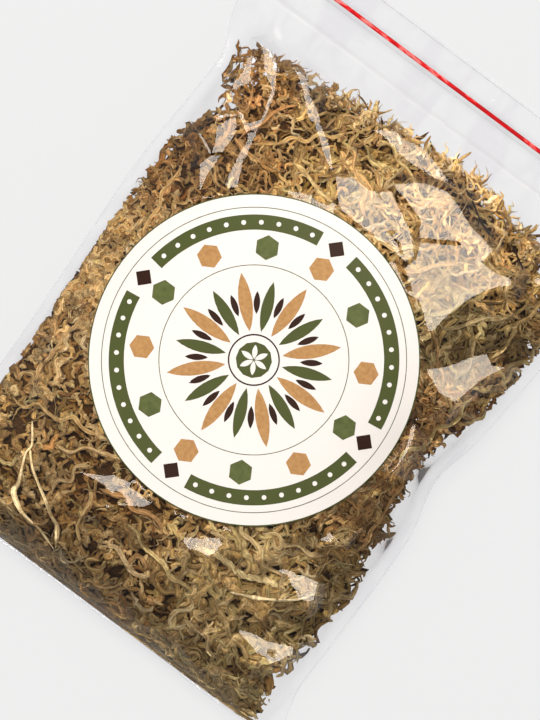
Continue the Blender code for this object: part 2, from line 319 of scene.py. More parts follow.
def film_material(name="clear_film", haze_low=0.001, haze_more=0.009, gain=0.85, cloudy=True):
    """Clear film; its mirror is weaker by the mouth and along the side welds."""
    n = Nodes(name)
    fres = n.new("Fresnel", inputs={"IOR": 1.5})
    tex = n.new("TexCoord")
    place_ = n.new("SeparateXYZ", inputs={0: tex.outputs["Object"]})
    mouth = n.new("MapRange", inputs={0: place_.outputs[1], 1: 0.119, 2: 0.130, 3: 1.0, 4: 0.12})
    side = n.new("MapRange", inputs={0: n.math("ABSOLUTE", place_.outputs[0]),
                                     1: 0.1095, 2: 0.1145, 3: 1.0, 4: 0.10})
    fade = n.math("MULTIPLY", mouth.outputs[0], side.outputs[0])
    twice = n.math("MULTIPLY", n.math("MULTIPLY", fres.outputs[0], fade), gain, clamp=True)
    noise = n.new("TexNoise", inputs={"Vector": tex.outputs["Object"], "Scale": 60.0,
                                      "Detail": 3.0})
    haze = n.math("MULTIPLY_ADD", noise.outputs[0], haze_more, haze_low)
    drawn = n.new("Mapping", inputs={"Vector": tex.outputs["Object"], "Scale": (60.0, 22.0, 30.0)})
    cloud = n.new("TexNoise", inputs={"Vector": drawn.outputs[0], "Scale": 1.0, "Detail": 2.5,
                                      "Distortion": 0.6})
    tone = n.ramp(cloud.outputs[0], [(0.46, (0.999, 0.997, 0.999)), (0.53, (0.990, 0.986, 0.991)),
                                     (0.60, (0.974, 0.968, 0.978))]) if cloudy else (0.9995, 0.9993, 0.9995, 1)
    clear = n.new("BsdfTransparent", inputs={"Color": tone})
    milky = n.new("BsdfDiffuse", inputs={"Color": (0.85, 0.84, 0.87, 1)})
    gloss = n.new("BsdfGlossy", inputs={"Color": (1, 1, 1, 1), "Roughness": 0.04})
    soft = n.new("MixShader", inputs={0: haze, 1: clear.outputs[0], 2: milky.outputs[0]})
    out = n.new("MixShader", inputs={0: twice, 1: soft.outputs[0], 2: gloss.outputs[0]})
    return n.finish(out.outputs[0])


def moss_material(name="dried_moss", ridges=2.5, gain=1.0):
    """Dried stems: light ribs along them and furrows between them painted dark as painted shade, blotched and
    scaly.
    """
    n = Nodes(name)
    tint = n.new("Attribute", attribute_name="tint")
    uv = n.new("UVMap", uv_map="UVMap")
    wander = n.new("Mapping", inputs={"Vector": uv.outputs[0], "Scale": (0.35, 1.2, 1.0)})
    sway = n.new("TexNoise", inputs={"Vector": wander.outputs[0], "Scale": 1.0,
                                     "Detail": 2.0})
    parts = n.new("SeparateXYZ", inputs={0: uv.outputs[0]})
    v = n.math("FRACT", parts.outputs[1])
    wavy = n.math("MULTIPLY_ADD", sway.outputs[0], 4.2, n.math("MULTIPLY", v, 2 * math.pi * ridges))
    rib = n.math("MULTIPLY_ADD", n.math("COSINE", wavy), 0.5, 0.5)
    fine = n.new("Mapping", inputs={"Vector": uv.outputs[0], "Scale": (0.5, 7.0, 1.0)})
    streak = n.new("TexNoise", inputs={"Vector": fine.outputs[0], "Scale": 1.0,
                                       "Detail": 3.0, "Roughness": 0.6})
    slant = n.math("MULTIPLY_ADD", v, 3.0, n.math("MULTIPLY", parts.outputs[0], 1.1))
    comb = n.new("CombineXYZ", inputs={0: slant, 1: v})
    scales = n.new("TexNoise", inputs={"Vector": comb.outputs[0], "Scale": 1.0,
                                       "Detail": 2.0})
    blot = n.new("Mapping", inputs={"Vector": uv.outputs[0], "Scale": (0.16, 1.0, 1.0)})
    spots = n.new("TexNoise", inputs={"Vector": blot.outputs[0], "Scale": 1.0,
                                      "Detail": 3.0})
    # 0 in a furrow, 1 on a rib
    a = n.math("MULTIPLY", rib, 0.66 * gain)
    b = n.math("MULTIPLY_ADD", streak.outputs[0], 0.95, -0.06)
    c = n.math("MULTIPLY_ADD", scales.outputs[0], 1.25, -0.42)
    both = n.math("ADD", n.math("ADD", a, b), n.math("MULTIPLY", c, 0.75), clamp=True)
    # the furrows' darker colour is painted shade in the grooves
    furrow_painted_shade = n.mix(1.0, tint.outputs["Color"], (0.25, 0.16, 0.06), "MULTIPLY")
    col = n.mix(both, furrow_painted_shade, tint.outputs["Color"])
    shade = n.ramp(spots.outputs[0], [(0.30, (0.66, 0.56, 0.44)), (0.48, (1, 1, 1)),
                                      (0.75, (1.10, 1.10, 1.06))])
    col = n.mix(1.0, col, shade, "MULTIPLY")
    bump = n.new("Bump", inputs={"Strength": 1.0, "Distance": 0.00045, "Height": both})
    bsdf = n.new("BsdfPrincipled", inputs={
        "Base Color": col, "Roughness": 0.7, "Specular IOR Level": 0.25,
        "Normal": bump.outputs[0]})
    return n.finish(bsdf.outputs[0])


FILM = film_material()
MOSS = moss_material()

# =====================================================================
# The film's front wall: a crinkled sheet of flat facets with crisp edges
# =====================================================================
rng = np.random.default_rng(5)
py_rand = random.Random(11)

# The main softbox stands at +Y; a facet shows it if it falls this much to +Y.
TILT = math.radians(17.0)
GLARE = -math.tan(TILT)
GENTLE = -math.tan(math.radians(13.0))
BACK_TILT = math.radians(17.0)
GLARE_LOW = math.tan(BACK_TILT)

# Flat facets of the film, as outlines in the photograph's frame. Each has how
# it slopes (dz/dX, dz/dY) and how high it stands over the bag's smooth shape.
FACETS = (
    # upper left: a fold that forks, and the leaf-shaped patches beside it
    (((235, 68), (243, 79), (245, 57), (252, 55), (258, 57), (252, 64), (251, 73),
      (251, 82), (236, 89), (232, 90), (234, 78)), (0.0, GLARE), 1.0),
    (((231, 91), (234, 92), (224, 106), (221, 106)), (0.0, GLARE), 0.8),
    (((261, 44), (269, 50), (275, 56), (276, 62), (277, 73), (276, 84), (275, 94),
      (270, 106), (266, 117), (260, 127), (254, 132), (261, 121), (265, 111),
      (268, 100), (272, 91), (270, 82), (266, 76), (264, 68), (264, 56)), (0.0, GLARE), 0.9),
    (((248, 134), (254, 133), (258, 130), (256, 135), (253, 142), (247, 157), (244, 160),
      (241, 174), (238, 186), (237, 197), (224, 197), (226, 187), (229, 176),
      (234, 167), (238, 157), (248, 142)), (0.0, GLARE), 0.8),
    (((238, 111), (243, 115), (247, 125), (248.5, 132), (246.5, 134), (243, 125),
      (239, 117)), (0.0, GLARE), 0.8),
    (((226, 121), (236, 117), (237, 125), (236, 134), (232, 141), (222, 154),
      (212, 154), (215, 145), (217, 128)), (0.02, GLARE), 0.7),
    (((211, 156), (221, 156), (214, 167), (208, 175), (203, 186), (200, 193),
      (200, 165), (206, 160)), (0.0, GLARE), 0.6),
    (((198, 134), (201, 134), (212, 153), (210, 155)), (0.0, GLARE), 0.8),
    (((214, 118), (226, 114), (237, 114), (237, 116), (226, 118), (217, 121)),
     (0.0, GLARE), 0.9),
    # the long narrow fold right of the top
    (((295, 71), (304, 75), (307, 82), (309, 94), (314, 105), (319, 115), (320, 125),
      (324, 134), (329, 147), (331, 160), (332, 171), (333, 174), (329, 168),
      (322, 151), (320, 141), (317, 133), (314, 124), (308, 120), (306, 108),
      (304, 97), (302, 86)), (0.0, GLARE), 1.0),
    # right of the top
    (((373, 130), (384, 137), (398, 152), (406, 160), (426, 173), (434, 178),
      (449, 182), (444, 174), (438, 165), (430, 155), (422, 147), (414, 143),
      (403, 139), (395, 130)), (0.0, GLARE), 1.2),
    (((335, 177), (344, 179), (351, 178), (360, 184), (369, 191), (376, 199), (376, 211),
      (375, 227), (373, 241), (369, 239), (360, 227), (351, 220), (341, 212),
      (337, 202), (336, 190)), (0.03, GLARE), 0.6),
    (((378, 193), (390, 192), (395, 203), (402, 216), (407, 227), (411, 238),
      (413, 258), (404, 263), (402, 254), (399, 243), (395, 232), (391, 220),
      (386, 210)), (0.03, GLARE), 0.8),
    (((384, 231), (391, 237), (397, 246), (398, 253), (395, 254), (388, 244),
      (383, 236)), (0.04, GLARE), 0.6),
    (((394, 185), (403, 184), (418, 183), (432, 186), (447, 192), (458, 206),
      (469, 226), (481, 238), (492, 251), (478, 244), (462, 235), (457, 242),
      (419, 239), (418, 230), (420, 222), (414, 212), (404, 199), (396, 191)),
     (0.0, GENTLE), 0.8),
    (((415, 259), (419, 243), (457, 246), (467, 254), (481, 263), (493, 273),
      (510, 279), (510, 286), (497, 287), (485, 291), (471, 298), (459, 306),
      (451, 312), (443, 319), (438, 324), (432, 331), (419, 332), (416, 321),
      (412, 298), (407, 278), (404, 268)), (-0.02, GENTLE), 0.6),
    # right
    (((422, 369), (430, 369), (443, 367), (458, 362), (472, 356), (486, 354),
      (487, 363), (492, 366), (505, 367), (497, 371), (489, 375), (480, 380),
      (472, 387), (464, 394), (453, 402), (447, 398), (438, 393), (434, 386),
      (429, 377)), (0.0, GLARE), 1.0),
    (((410, 415), (415, 418), (415, 424), (413, 435), (409, 447), (403, 457),
      (396, 466), (390, 472), (396, 464), (403, 453), (408, 440), (411, 425)),
     (0.0, GLARE), 1.0),
    # below the label
    (((80, 471), (101, 474), (115, 474), (128, 480), (141, 483), (153, 496),
      (155, 501), (145, 506), (133, 505), (120, 504), (117, 496), (107, 487),
      (99, 480)), (0.0, math.tan(math.radians(15.6))), 0.6),
    (((184, 536), (220, 536), (223, 542), (215, 552), (208, 555), (200, 550),
      (188, 547), (184, 541)), (0.0, GLARE_LOW), 0.8),
    (((273, 568), (286, 568), (303, 574), (318, 581), (316, 589), (314, 598),
      (308, 601), (298, 597), (295, 589), (290, 582), (279, 578)), (0.0, GLARE_LOW), 0.8),
    (((319, 539), (325, 535), (329, 531), (334, 536), (340, 541), (327, 541)),
     (0.0, GLARE_LOW), 1.0),
    (((237, 629), (243, 633), (249, 631), (251, 638), (259, 635), (267, 640),
      (304, 648), (283, 658), (270, 664), (267, 660), (259, 658), (255, 650),
      (248, 641), (242, 635)), (0.0, GLARE_LOW), 1.0),
)
# Creases that run down the film: from, to (photograph's frame), height, half-width.
FOLDS = (
    ((240, -6), (205, 105), 2.0, 5.0), ((252, -10), (292, 64), 1.8, 4.0),
    ((232, 0), (195, 60), 1.5, 5.0), ((300, -20), (345, 90), 1.6, 5.0),
    ((452, 404), (426, 486), 2.0, 2.2), ((444, 430), (400, 520), 1.6, 2.5),
    ((60, 250), (12, 330), 1.2, 4.0), ((20, 345), (95, 470), 1.2, 5.0),
    ((520, 250), (560, 300), 1.6, 5.0),
)


def inside(poly, x, y):
    hit = False
    for (x0, y0), (x1, y1) in zip(poly, poly[1:] + poly[:1]):
        if (y0 > y) != (y1 > y) and x < x0 + (y - y0) * (x1 - x0) / (y1 - y0):
            hit = not hit
    return hit


def seg_dist(poly, x, y):
    best = 1e9
    for (x0, y0), (x1, y1) in zip(poly, poly[1:] + poly[:1]):
        dx, dy = x1 - x0, y1 - y0
        t = max(0.0, min(1.0, ((x - x0) * dx + (y - y0) * dy) / (dx * dx + dy * dy + 1e-9)))
        best = min(best, math.hypot(x - x0 - t * dx, y - y0 - t * dy))
    return best


def base1(x, y):
    return float(front_base(np.array(x), np.array(y)))


def near_label(x, y):
    return 0.3 if math.hypot(x - LABEL_X, y - LABEL_Y) < LABEL_R + 9 else 1.0


# Where the two softboxes stand: distance, lean from upright, size.
SOFTBOXES = ((1.3, 2 * TILT, (0.62, 0.5)), (1.3, -2 * BACK_TILT, (0.5, 0.16)))
EYE = Vector((mid_x * MM, mid_y * MM, REF_Z + dist))


def box_frame(far, lean):
    d = Vector((0, math.sin(lean), math.cos(lean)))
    return d * far + Vector((0, 0, 0.04)), d, Vector((0, math.cos(lean), -math.sin(lean)))


def aim(x, y, which):
    """Slopes of a facet at (x, y) mm that shows the middle of a softbox."""
    p = Vector((x, y, base1(x, y))) * MM
    spot = box_frame(*SOFTBOXES[which][:2])[0]
    h = (EYE - p).normalized() + (spot - p).normalized()
    return -h.x / h.z, -h.y / h.z


def mirrors(x, y, gx, gy, margin=0.05):
    """Does a facet of this slope at (x, y) mm show one of the softboxes?"""
    p = Vector((x * MM, y * MM, 0.03))
    n = Vector((-gx, -gy, 1)).normalized()
    v = (EYE - p).normalized()
    r = 2 * n.dot(v) * n - v
    for far, lean, size in SOFTBOXES:
        spot, d, up = box_frame(far, lean)
        fall = r.dot(d)
        if fall < 1e-3:
            continue
        q = p + r * ((spot - p).dot(d) / fall) - spot
        if abs(q.x) < size[0] / 2 + margin and abs(q.dot(up)) < size[1] / 2 + margin:
            return True
    return False


def build_tin():
    """Triangles of the faceted sheet: vertices (x, y), heights, corner indices."""
    pts, hts, edges, polys = [], [], [], []
    for outline, (gx, gy), lift in FACETS:
        xy = [at(*p) for p in outline]
        cx = sum(p[0] for p in xy) / len(xy)
        cy = sum(p[1] for p in xy) / len(xy)
        if gy > 0:
            gx, gy = aim(cx, cy, 1)
        elif gy < -0.25:
            ax, ay = aim(cx, cy, 0)
            gx, gy = 0.6 * ax + 0.4 * gx, 0.6 * ay + 0.4 * gy
        xy = [(x + (cx - x) * 0.25 / max(1.0, math.hypot(cx - x, cy - y)),
               y + (cy - y) * 0.25 / max(1.0, math.hypot(cx - x, cy - y))) for x, y in xy]
        plane = [gx * (x - cx) + gy * (y - cy) for x, y in xy]
        over = max(base1(x, y) - h for (x, y), h in zip(xy, plane))
        mean = sum(base1(x, y) - h for (x, y), h in zip(xy, plane)) / len(xy)
        off = 0.45 * over + 0.55 * mean + lift
        start = len(pts)
        for (x, y), h in zip(xy, plane):
            pts.append((x, y))
            hts.append(h + off)
        k = len(xy)
        edges += [(start + i, start + (i + 1) % k) for i in range(k)]
        polys.append(xy)
    fixed = len(pts)
    boxes = [(min(p[0] for p in q) - 4, max(p[0] for p in q) + 4,
              min(p[1] for p in q) - 4, max(p[1] for p in q) + 4) for q in polys]
    tries = 0
    while tries < 9000:
        tries += 1
        x, y = py_rand.uniform(-131, 131), py_rand.uniform(-177, 177)
        s = abs(float(across(np.array(x), np.array(y))))
        if s > 1.06:
            continue
        gap = 8.0 if y > 40 or y < -95 else 9.0
        if y > 138:
            gap = 15.0
        if math.hypot(x - LABEL_X, y - LABEL_Y) < LABEL_R - 8:
            continue
        if any(abs(x - a) < gap and math.hypot(x - a, y - b) < gap * (0.62 if i < fixed else 1.0)
               for i, (a, b) in enumerate(pts)):
            continue
        near = [q for q, (x0, x1, y0, y1) in zip(polys, boxes) if x0 < x < x1 and y0 < y < y1]
        if any(inside(q, x, y) or seg_dist(q, x, y) < 3.0 for q in near):
            continue
        pts.append((x, y))
        hts.append(base1(x, y) + py_rand.uniform(-1.0, 1.0) * amp_at(y, s) * near_label(x, y))
    for x, y in ((-150, -190), (150, -190), (150, 190), (-150, 190)):
        pts.append((x, y))
        hts.append(base1(x, y))
    res = delaunay_2d_cdt([Vector(p) for p in pts], edges, [], 0, 1e-4)
    out_v, out_f, orig = res[0], res[2], res[3]
    xy = [tuple(v) for v in out_v]
    z = [hts[src[0]] if src else base1(*v) for v, src in zip(out_v, orig)]
    free = [bool(src) and fixed <= src[0] < len(pts) - 4 for src in orig]
    tris = [tuple(f) for f in out_f]
    # free points move until few facets between the chosen ones mirror a softbox
    around = [[] for _ in xy]
    for t, tri in enumerate(tris):
        for i in tri:
            around[i].append(t)

    def cost(t):
        a, b, c = tris[t]
        (x0, y0), (x1, y1), (x2, y2) = xy[a], xy[b], xy[c]
        d = (x1 - x0) * (y2 - y0) - (x2 - x0) * (y1 - y0)
        if abs(d) < 1e-6:
            return 0.0
        gx = ((z[b] - z[a]) * (y2 - y0) - (z[c] - z[a]) * (y1 - y0)) / d
        gy = ((z[c] - z[a]) * (x1 - x0) - (z[b] - z[a]) * (x2 - x0)) / d
        return abs(d) if mirrors((x0 + x1 + x2) / 3, (y0 + y1 + y2) / 3, gx, gy) else 0.0

    span = [amp_at(y, abs(float(across(np.array(x), np.array(y))))) * near_label(x, y)
            for x, y in xy]
    for sweep in range(26):
        order = [i for i in range(len(xy)) if free[i] and any(cost(t) for t in around[i])]
        py_rand.shuffle(order)
        for i in order:
            now, keep = sum(cost(t) for t in around[i]), z[i]
            best, best_z = now, keep
            b = base1(*xy[i])
            for _ in range(8):
                z[i] = b + py_rand.uniform(-1.3, 1.3) * span[i]
                c = sum(cost(t) for t in around[i])
                if c < best:
                    best, best_z = c, z[i]
            z[i] = best_z
    return np.array(xy), np.array(z), tris


def amp_at(y, s):
    amp = 1.5 if y < 60 else 1.9
    if y > 136:
        amp = 0.7
    return amp * max(0.1, min(1.0, (1.02 - s) / 0.2))


def tin_height(xy, z, tris, px, py, out):
    """Writes the faceted sheet's height at the points (px, py) into out."""
    order = np.argsort(py, kind="stable")
    sx, sy = px[order], py[order]
    for a, b, c in tris:
        pa, pb, pc = xy[a], xy[b], xy[c]
        lo_y, hi_y = min(pa[1], pb[1], pc[1]), max(pa[1], pb[1], pc[1])
        i0, i1 = np.searchsorted(sy, lo_y - 1e-4), np.searchsorted(sy, hi_y + 1e-4)
        if i0 >= i1:
            continue
        gx, gy = sx[i0:i1], sy[i0:i1]
        d = (pb[0] - pa[0]) * (pc[1] - pa[1]) - (pc[0] - pa[0]) * (pb[1] - pa[1])
        if abs(d) < 1e-9:
            continue
        u = ((gx - pa[0]) * (pc[1] - pa[1]) - (pc[0] - pa[0]) * (gy - pa[1])) / d
        v = ((pb[0] - pa[0]) * (gy - pa[1]) - (gx - pa[0]) * (pb[1] - pa[1])) / d
        ok = (u >= -1e-5) & (v >= -1e-5) & (u + v <= 1 + 1e-5)
        zz = z[a] * (1 - u - v) + z[b] * u + z[c] * v
        out[order[i0:i1][ok]] = zz[ok]
    return out


def noise_field(cells, seed):
    """A smooth random field over the bag's rectangle, as a function of x and y."""
    g = np.random.default_rng(seed).normal(size=(cells[0] + 3, cells[1] + 3))

    def f(x, y):
        u = np.clip((np.asarray(x) + 135) / 270, 0, 0.9999) * cells[1] + 1
        v = np.clip((np.asarray(y) + 180) / 360, 0, 0.9999) * cells[0] + 1
        i, j = u.astype(int), v.astype(int)
        fu, fv = u - i, v - j
        fu, fv = fu * fu * (3 - 2 * fu), fv * fv * (3 - 2 * fv)
        return ((g[j, i] * (1 - fu) + g[j, i + 1] * fu) * (1 - fv)
                + (g[j + 1, i] * (1 - fu) + g[j + 1, i + 1] * fu) * fv)
    return f


TIN_XY, TIN_Z, TIN_F = build_tin()
ripple_a, ripple_b = noise_field((44, 33), 6), noise_field((90, 68), 7)


def calm_at(x, y):
    """1 where the film is crinkled; 0 at the label, the seal, welds and ends."""
    d = np.hypot(x - LABEL_X, y - LABEL_Y)
    calm = np.clip((d - (LABEL_R + 0.5)) / 3.0, 0, 1)
    calm = calm * calm * (3 - 2 * calm)
    calm = calm * np.clip((1 - np.abs(across(x, y))) / 0.09, 0, 1)
    calm = calm * np.clip((138 - y) / 14, 0.0, 1)
    return calm * np.clip((y + 175) / 8, 0, 1)


def film_surface(x, y):
    """Height of the finished front wall at flat arrays of points."""
    base = front_base(x, y)
    z = tin_height(TIN_XY, TIN_Z, TIN_F, x, y, base.copy())
    z = z + ripple_a(x, y) * 0.10 + ripple_b(x, y) * 0.03
    for p0, p1, high, half in FOLDS:
        (x0, y0), (x1, y1) = at(*p0), at(*p1)
        dx, dy = x1 - x0, y1 - y0
        ln = math.hypot(dx, dy)
        t = ((x - x0) * dx + (y - y0) * dy) / ln**2
        side = ((x - x0) * dy - (y - y0) * dx) / ln
        along = np.clip(1 - np.abs(2 * t - 1), 0, 1) ** 0.7
        ridge = np.maximum(0, 1 - np.abs(side) / (half * (0.35 + 0.65 * along)))
        z = z + high * along * ridge
    return base + (z - base) * calm_at(x, y)


# a grid of heights, for the moss below
NX, NY = 236, 350
ys = np.linspace(-175.0, 175.0, NY + 1)
ps = np.linspace(0.0, 1.0, NX + 1)
LX, RX = left_edge(ys), right_edge(ys)
GX = LX[:, None] + (RX - LX)[:, None] * ps[None, :]
GY = np.repeat(ys[:, None], NX + 1, axis=1)
FILM_Z = film_surface(GX.ravel(), GY.ravel()).reshape(GX.shape)


def film_at(x, y):
    """Bilinear height of the finished front wall."""
    j = np.clip((np.asarray(y) + 175) / 350 * NY, 0, NY - 1e-6)
    lo, hi = left_edge(y), right_edge(y)
    i = np.clip((np.asarray(x) - lo) / (hi - lo) * NX, 0, NX - 1e-6)
    j0, i0 = j.astype(int), i.astype(int)
    fj, fi = j - j0, i - i0
    z = FILM_Z
    return (z[j0, i0] * (1 - fj) * (1 - fi) + z[j0 + 1, i0] * fj * (1 - fi)
            + z[j0, i0 + 1] * (1 - fj) * fi + z[j0 + 1, i0 + 1] * fj * fi)


def grid_faces(rows, cols):
    j, i = np.meshgrid(np.arange(rows - 1), np.arange(cols - 1), indexing="ij")
    a = (j * cols + i).ravel()
    return np.stack([a, a + 1, a + 1 + cols, a + cols], 1)


def film_sheet(step=2.0):
    """The sheet's mesh: its edges lie on every facet's edge, weld and border."""
    pts, edges = [], []

    def run(a, b, cut=step):
        k = max(1, int(math.ceil(math.dist(a, b) / cut)))
        s = len(pts)
        for i in range(k + 1):
            pts.append((a[0] + (b[0] - a[0]) * i / k, a[1] + (b[1] - a[1]) * i / k))
        edges.extend((s + i, s + i + 1) for i in range(k))

    seen = set()
    for tri in TIN_F:
        for a, b in zip(tri, tri[1:] + tri[:1]):
            key = (min(a, b), max(a, b))
            if key in seen:
                continue
            seen.add(key)
            pa, pb = TIN_XY[a], TIN_XY[b]
            m = (pa + pb) / 2
            if abs(m[0]) > 133 or abs(m[1]) > 176:
                continue
            if math.hypot(m[0] - LABEL_X, m[1] - LABEL_Y) < LABEL_R - 4:
                continue
            if abs(float(across(m[0], m[1]))) > 1.0:
                continue
            run(tuple(pa), tuple(pb))
    creases = len(edges)
    rows = np.linspace(-175, 175, 176)
    for edge, inset in ((left_edge, 0), (left_edge, WELD), (right_edge, 0), (right_edge, -WELD)):
        line = [(float(edge(y)) + inset, float(y)) for y in rows]
        s = len(pts)
        pts.extend(line)
        edges.extend((s + i, s + i + 1) for i in range(len(line) - 1))
    for y in (-175.0, 175.0):
        run((float(left_edge(y)), y), (float(right_edge(y)), y))
    lines = np.array(pts)
    # loose points in a staggered grid, finer where the film turns down
    loose = []
    cell = {}
    for x, y in lines:
        cell.setdefault((int(x // 2), int(y // 2)), []).append((x, y))
    y, row = -174.2, 0
    while y < 174.5:
        dy = 0.9 if y < -160 else step * 0.86
        x0, x1 = float(left_edge(y)) + 0.7, float(right_edge(y)) - 0.7
        k = int((x1 - x0) / (1.5 if y < -160 else step))
        for i in range(k + 1):
            x = x0 + (x1 - x0) * (i + (0.5 if row % 2 else 0.0)) / (k + 0.5)
            if math.hypot(x - LABEL_X, y - LABEL_Y) < LABEL_R - 4 and (row % 2 or i % 2):
                continue
            cx, cy = int(x // 2), int(y // 2)
            close = any((x - a) ** 2 + (y - b) ** 2 < 0.75
                        for u in (-1, 0, 1) for v in (-1, 0, 1)
                        for a, b in cell.get((cx + u, cy + v), ()))
            if not close:
                loose.append((x, y))
        y += dy
        row += 1
    allp = [Vector(p) for p in pts] + [Vector(p) for p in loose]
    res = delaunay_2d_cdt(allp, edges, [], 0, 1e-3)
    v = np.array([tuple(p) for p in res[0]])
    f = np.array([tuple(t) for t in res[2]], np.int64)
    c = v[f].mean(1)
    ok = (c[:, 0] > left_edge(c[:, 1]) + 0.001) & (c[:, 0] < right_edge(c[:, 1]) - 0.001)
    f = f[ok]
    used = np.unique(f)
    new = -np.ones(len(v), np.int64)
    new[used] = np.arange(len(used))
    sharp = [(new[a], new[b]) for (a, b), src in zip(res[1], res[4])
             if any(e < creases for e in src) and new[a] >= 0 and new[b] >= 0]
    v, f = v[used], new[f]
    z = film_surface(v[:, 0], v[:, 1])
    soft = calm_at(v[:, 0], v[:, 1]) < 0.5
    sharp = np.array([(min(a, b), max(a, b)) for a, b in sharp
                      if not (soft[a] and soft[b])], np.int64)
    area2 = np.cross(v[f[:, 1]] - v[f[:, 0]], v[f[:, 2]] - v[f[:, 0]])
    f = np.where((area2 < 0)[:, None], f[:, ::-1], f)
    return np.column_stack([v, z]), f, sharp


def mark_sharp(mesh, pairs):
    ev = np.empty(len(mesh.edges) * 2, np.int32)
    mesh.edges.foreach_get("vertices", ev)
    ev = np.sort(ev.reshape(-1, 2).astype(np.int64), 1)
    n = len(mesh.vertices)
    hit = np.isin(ev[:, 0] * n + ev[:, 1], pairs[:, 0] * n + pairs[:, 1])
    layer = mesh.attributes.get("sharp_edge") or mesh.attributes.new("sharp_edge", "BOOLEAN", "EDGE")
    layer.data.foreach_set("value", hit)


sheet_v, sheet_f, sheet_sharp = film_sheet()
front = mesh_object("film_front", sheet_v, sheet_f, [FILM])
mark_sharp(front.data, sheet_sharp)
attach(front, "root")
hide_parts("bag_film")

# back wall: flat where it lies, with small folds where it lifts
BX, BY = 100, 150
yb = np.linspace(-175.0, 175.0, BY + 1)
xb = left_edge(yb)[:, None] + (right_edge(yb) - left_edge(yb))[:, None] * np.linspace(0, 1, BX + 1)[None]
ybg = np.repeat(yb[:, None], BX + 1, axis=1)
zb = back_base(xb, ybg)
lift = np.clip(zb / 6.0, 0, 1) * np.clip((1 - np.abs(across(xb, ybg))) / 0.1, 0, 1)
zb = np.maximum(0, zb + smooth_noise(zb.shape, (26, 20), rng) * 0.7 * lift)
back = mesh_object("film_back", np.stack([xb, ybg, zb], 2).reshape(-1, 3),
                   grid_faces(BY + 1, BX + 1)[:, ::-1], [FILM])
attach(back, "root")

# the cut rim of the film along the welds, the fold and the mouth
def rim_material():
    n = Nodes("film_rim")
    tex = n.new("TexCoord")
    noise = n.new("TexNoise", inputs={"Vector": tex.outputs["Object"], "Scale": 45.0, "Detail": 2.0})
    share = n.math("MULTIPLY_ADD", noise.outputs[0], 0.34, 0.0)
    clear = n.new("BsdfTransparent", inputs={"Color": (0.975, 0.972, 0.977, 1)})
    solid = n.new("BsdfDiffuse", inputs={"Color": (0.66, 0.655, 0.67, 1)})
    out = n.new("MixShader", inputs={0: share, 1: clear.outputs[0], 2: solid.outputs[0]})
    return n.finish(out.outputs[0])


def rim_piece():
    yr = np.linspace(-174.6, 174.6, 160)
    xr = np.linspace(0, 1, 90)
    routes = []
    for edge in (left_edge, right_edge):
        routes.append(np.column_stack([edge(yr), yr, mid_height(yr)]))
    for y in (-175.0, 175.0):
        x = float(left_edge(y)) + (float(right_edge(y)) - float(left_edge(y))) * xr
        lift = 0.0 if y < 0 else 1.6
        for up in ((0.0,) if y < 0 else (lift, -lift)):
            routes.append(np.column_stack([x, np.full_like(x, y), np.full_like(x, float(mid_height(y)) + up)]))
    V, F, n = [], [], 0
    for P in routes:
        T = np.gradient(P, axis=0)
        T /= np.linalg.norm(T, axis=1, keepdims=True)
        S = np.cross(T, (0, 0, 1.0))
        S /= np.linalg.norm(S, axis=1, keepdims=True)
        U = np.cross(S, T)
        ring = [P + S * (0.28 * math.cos(a)) + U * (0.28 * math.sin(a))
                for a in np.linspace(0, 2 * math.pi, 6, endpoint=False)]
        V.append(np.stack(ring, 1).reshape(-1, 3))
        m = len(P)
        idx = n + np.arange(m * 6).reshape(m, 6)
        nxt = np.roll(idx, -1, 1)
        F.append(np.stack([idx[:-1], nxt[:-1], nxt[1:], idx[1:]], -1).reshape(-1, 4)[:, ::-1])
        for k, flip in ((0, 1), (-1, -1)):
            a = idx[k][::flip]
            F.append(np.array([[a[0], a[1], a[2], a[3]], [a[0], a[3], a[4], a[5]]]))
        n += m * 6
    obj = mesh_object("film_rim", np.concatenate(V), np.concatenate(F), [rim_material()])
    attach(obj, "root")


rim_piece()

# =====================================================================
# Moss
# =====================================================================
KHAKI = srgb(236, 210, 156)
GOLD = srgb(226, 188, 120)
BROWN = srgb(190, 142, 88)
GREEN = srgb(226, 210, 144)
PALE = srgb(244, 228, 188)
RUST = srgb(196, 136, 74)
# Style of the moss over the bag: place in the photograph's frame, radius (mm),
# length (mm), how much it curls, and its colour.
STYLES = (
    # place, radius, length, curl, (khaki, gold, brown, green, pale, rust)
    ((250, 90), 0.80, 15, 0.9, (2, 4, 5, 0, 0, 2)),
    ((330, 120), 0.90, 17, 0.8, (3, 4, 4, 2, 1, 2)),
    ((350, 165), 1.05, 20, 0.4, (4, 2, 3, 4, 1, 0)),
    ((400, 110), 0.80, 20, 0.5, (5, 6, 2, 1, 1, 1)),
    ((470, 190), 0.75, 19, 0.5, (5, 6, 2, 1, 1, 1)),
    ((500, 240), 0.85, 18, 0.5, (5, 5, 2, 2, 1, 1)),
    ((520, 280), 1.0, 20, 0.6, (4, 5, 2, 3, 1, 1)),
    ((470, 330), 1.25, 24, 0.4, (4, 2, 2, 6, 1, 0)),
    ((450, 430), 0.95, 15, 0.7, (3, 3, 6, 1, 0, 2)),
    ((390, 520), 1.15, 20, 0.6, (3, 3, 5, 1, 0, 1)),
    ((340, 590), 1.35, 26, 0.7, (7, 3, 2, 4, 1, 0)),
    ((270, 600), 1.6, 30, 0.7, (8, 3, 1, 4, 1, 0)),
    ((200, 600), 1.6, 28, 0.8, (8, 3, 1, 3, 1, 0)),
    ((130, 560), 1.3, 22, 0.9, (5, 3, 4, 1, 1, 1)),
    ((100, 470), 1.15, 17, 1.1, (4, 3, 5, 1, 0, 2)),
    ((30, 450), 1.25, 18, 1.1, (6, 3, 2, 2, 1, 1)),
    ((50, 360), 1.25, 20, 1.0, (6, 4, 3, 1, 1, 1)),
    ((120, 250), 1.2, 18, 1.0, (6, 4, 3, 1, 1, 1)),
    ((180, 160), 0.95, 16, 0.9, (2, 3, 6, 0, 0, 2)),
)
ANCHORS = np.array([at(*s[0]) for s in STYLES])
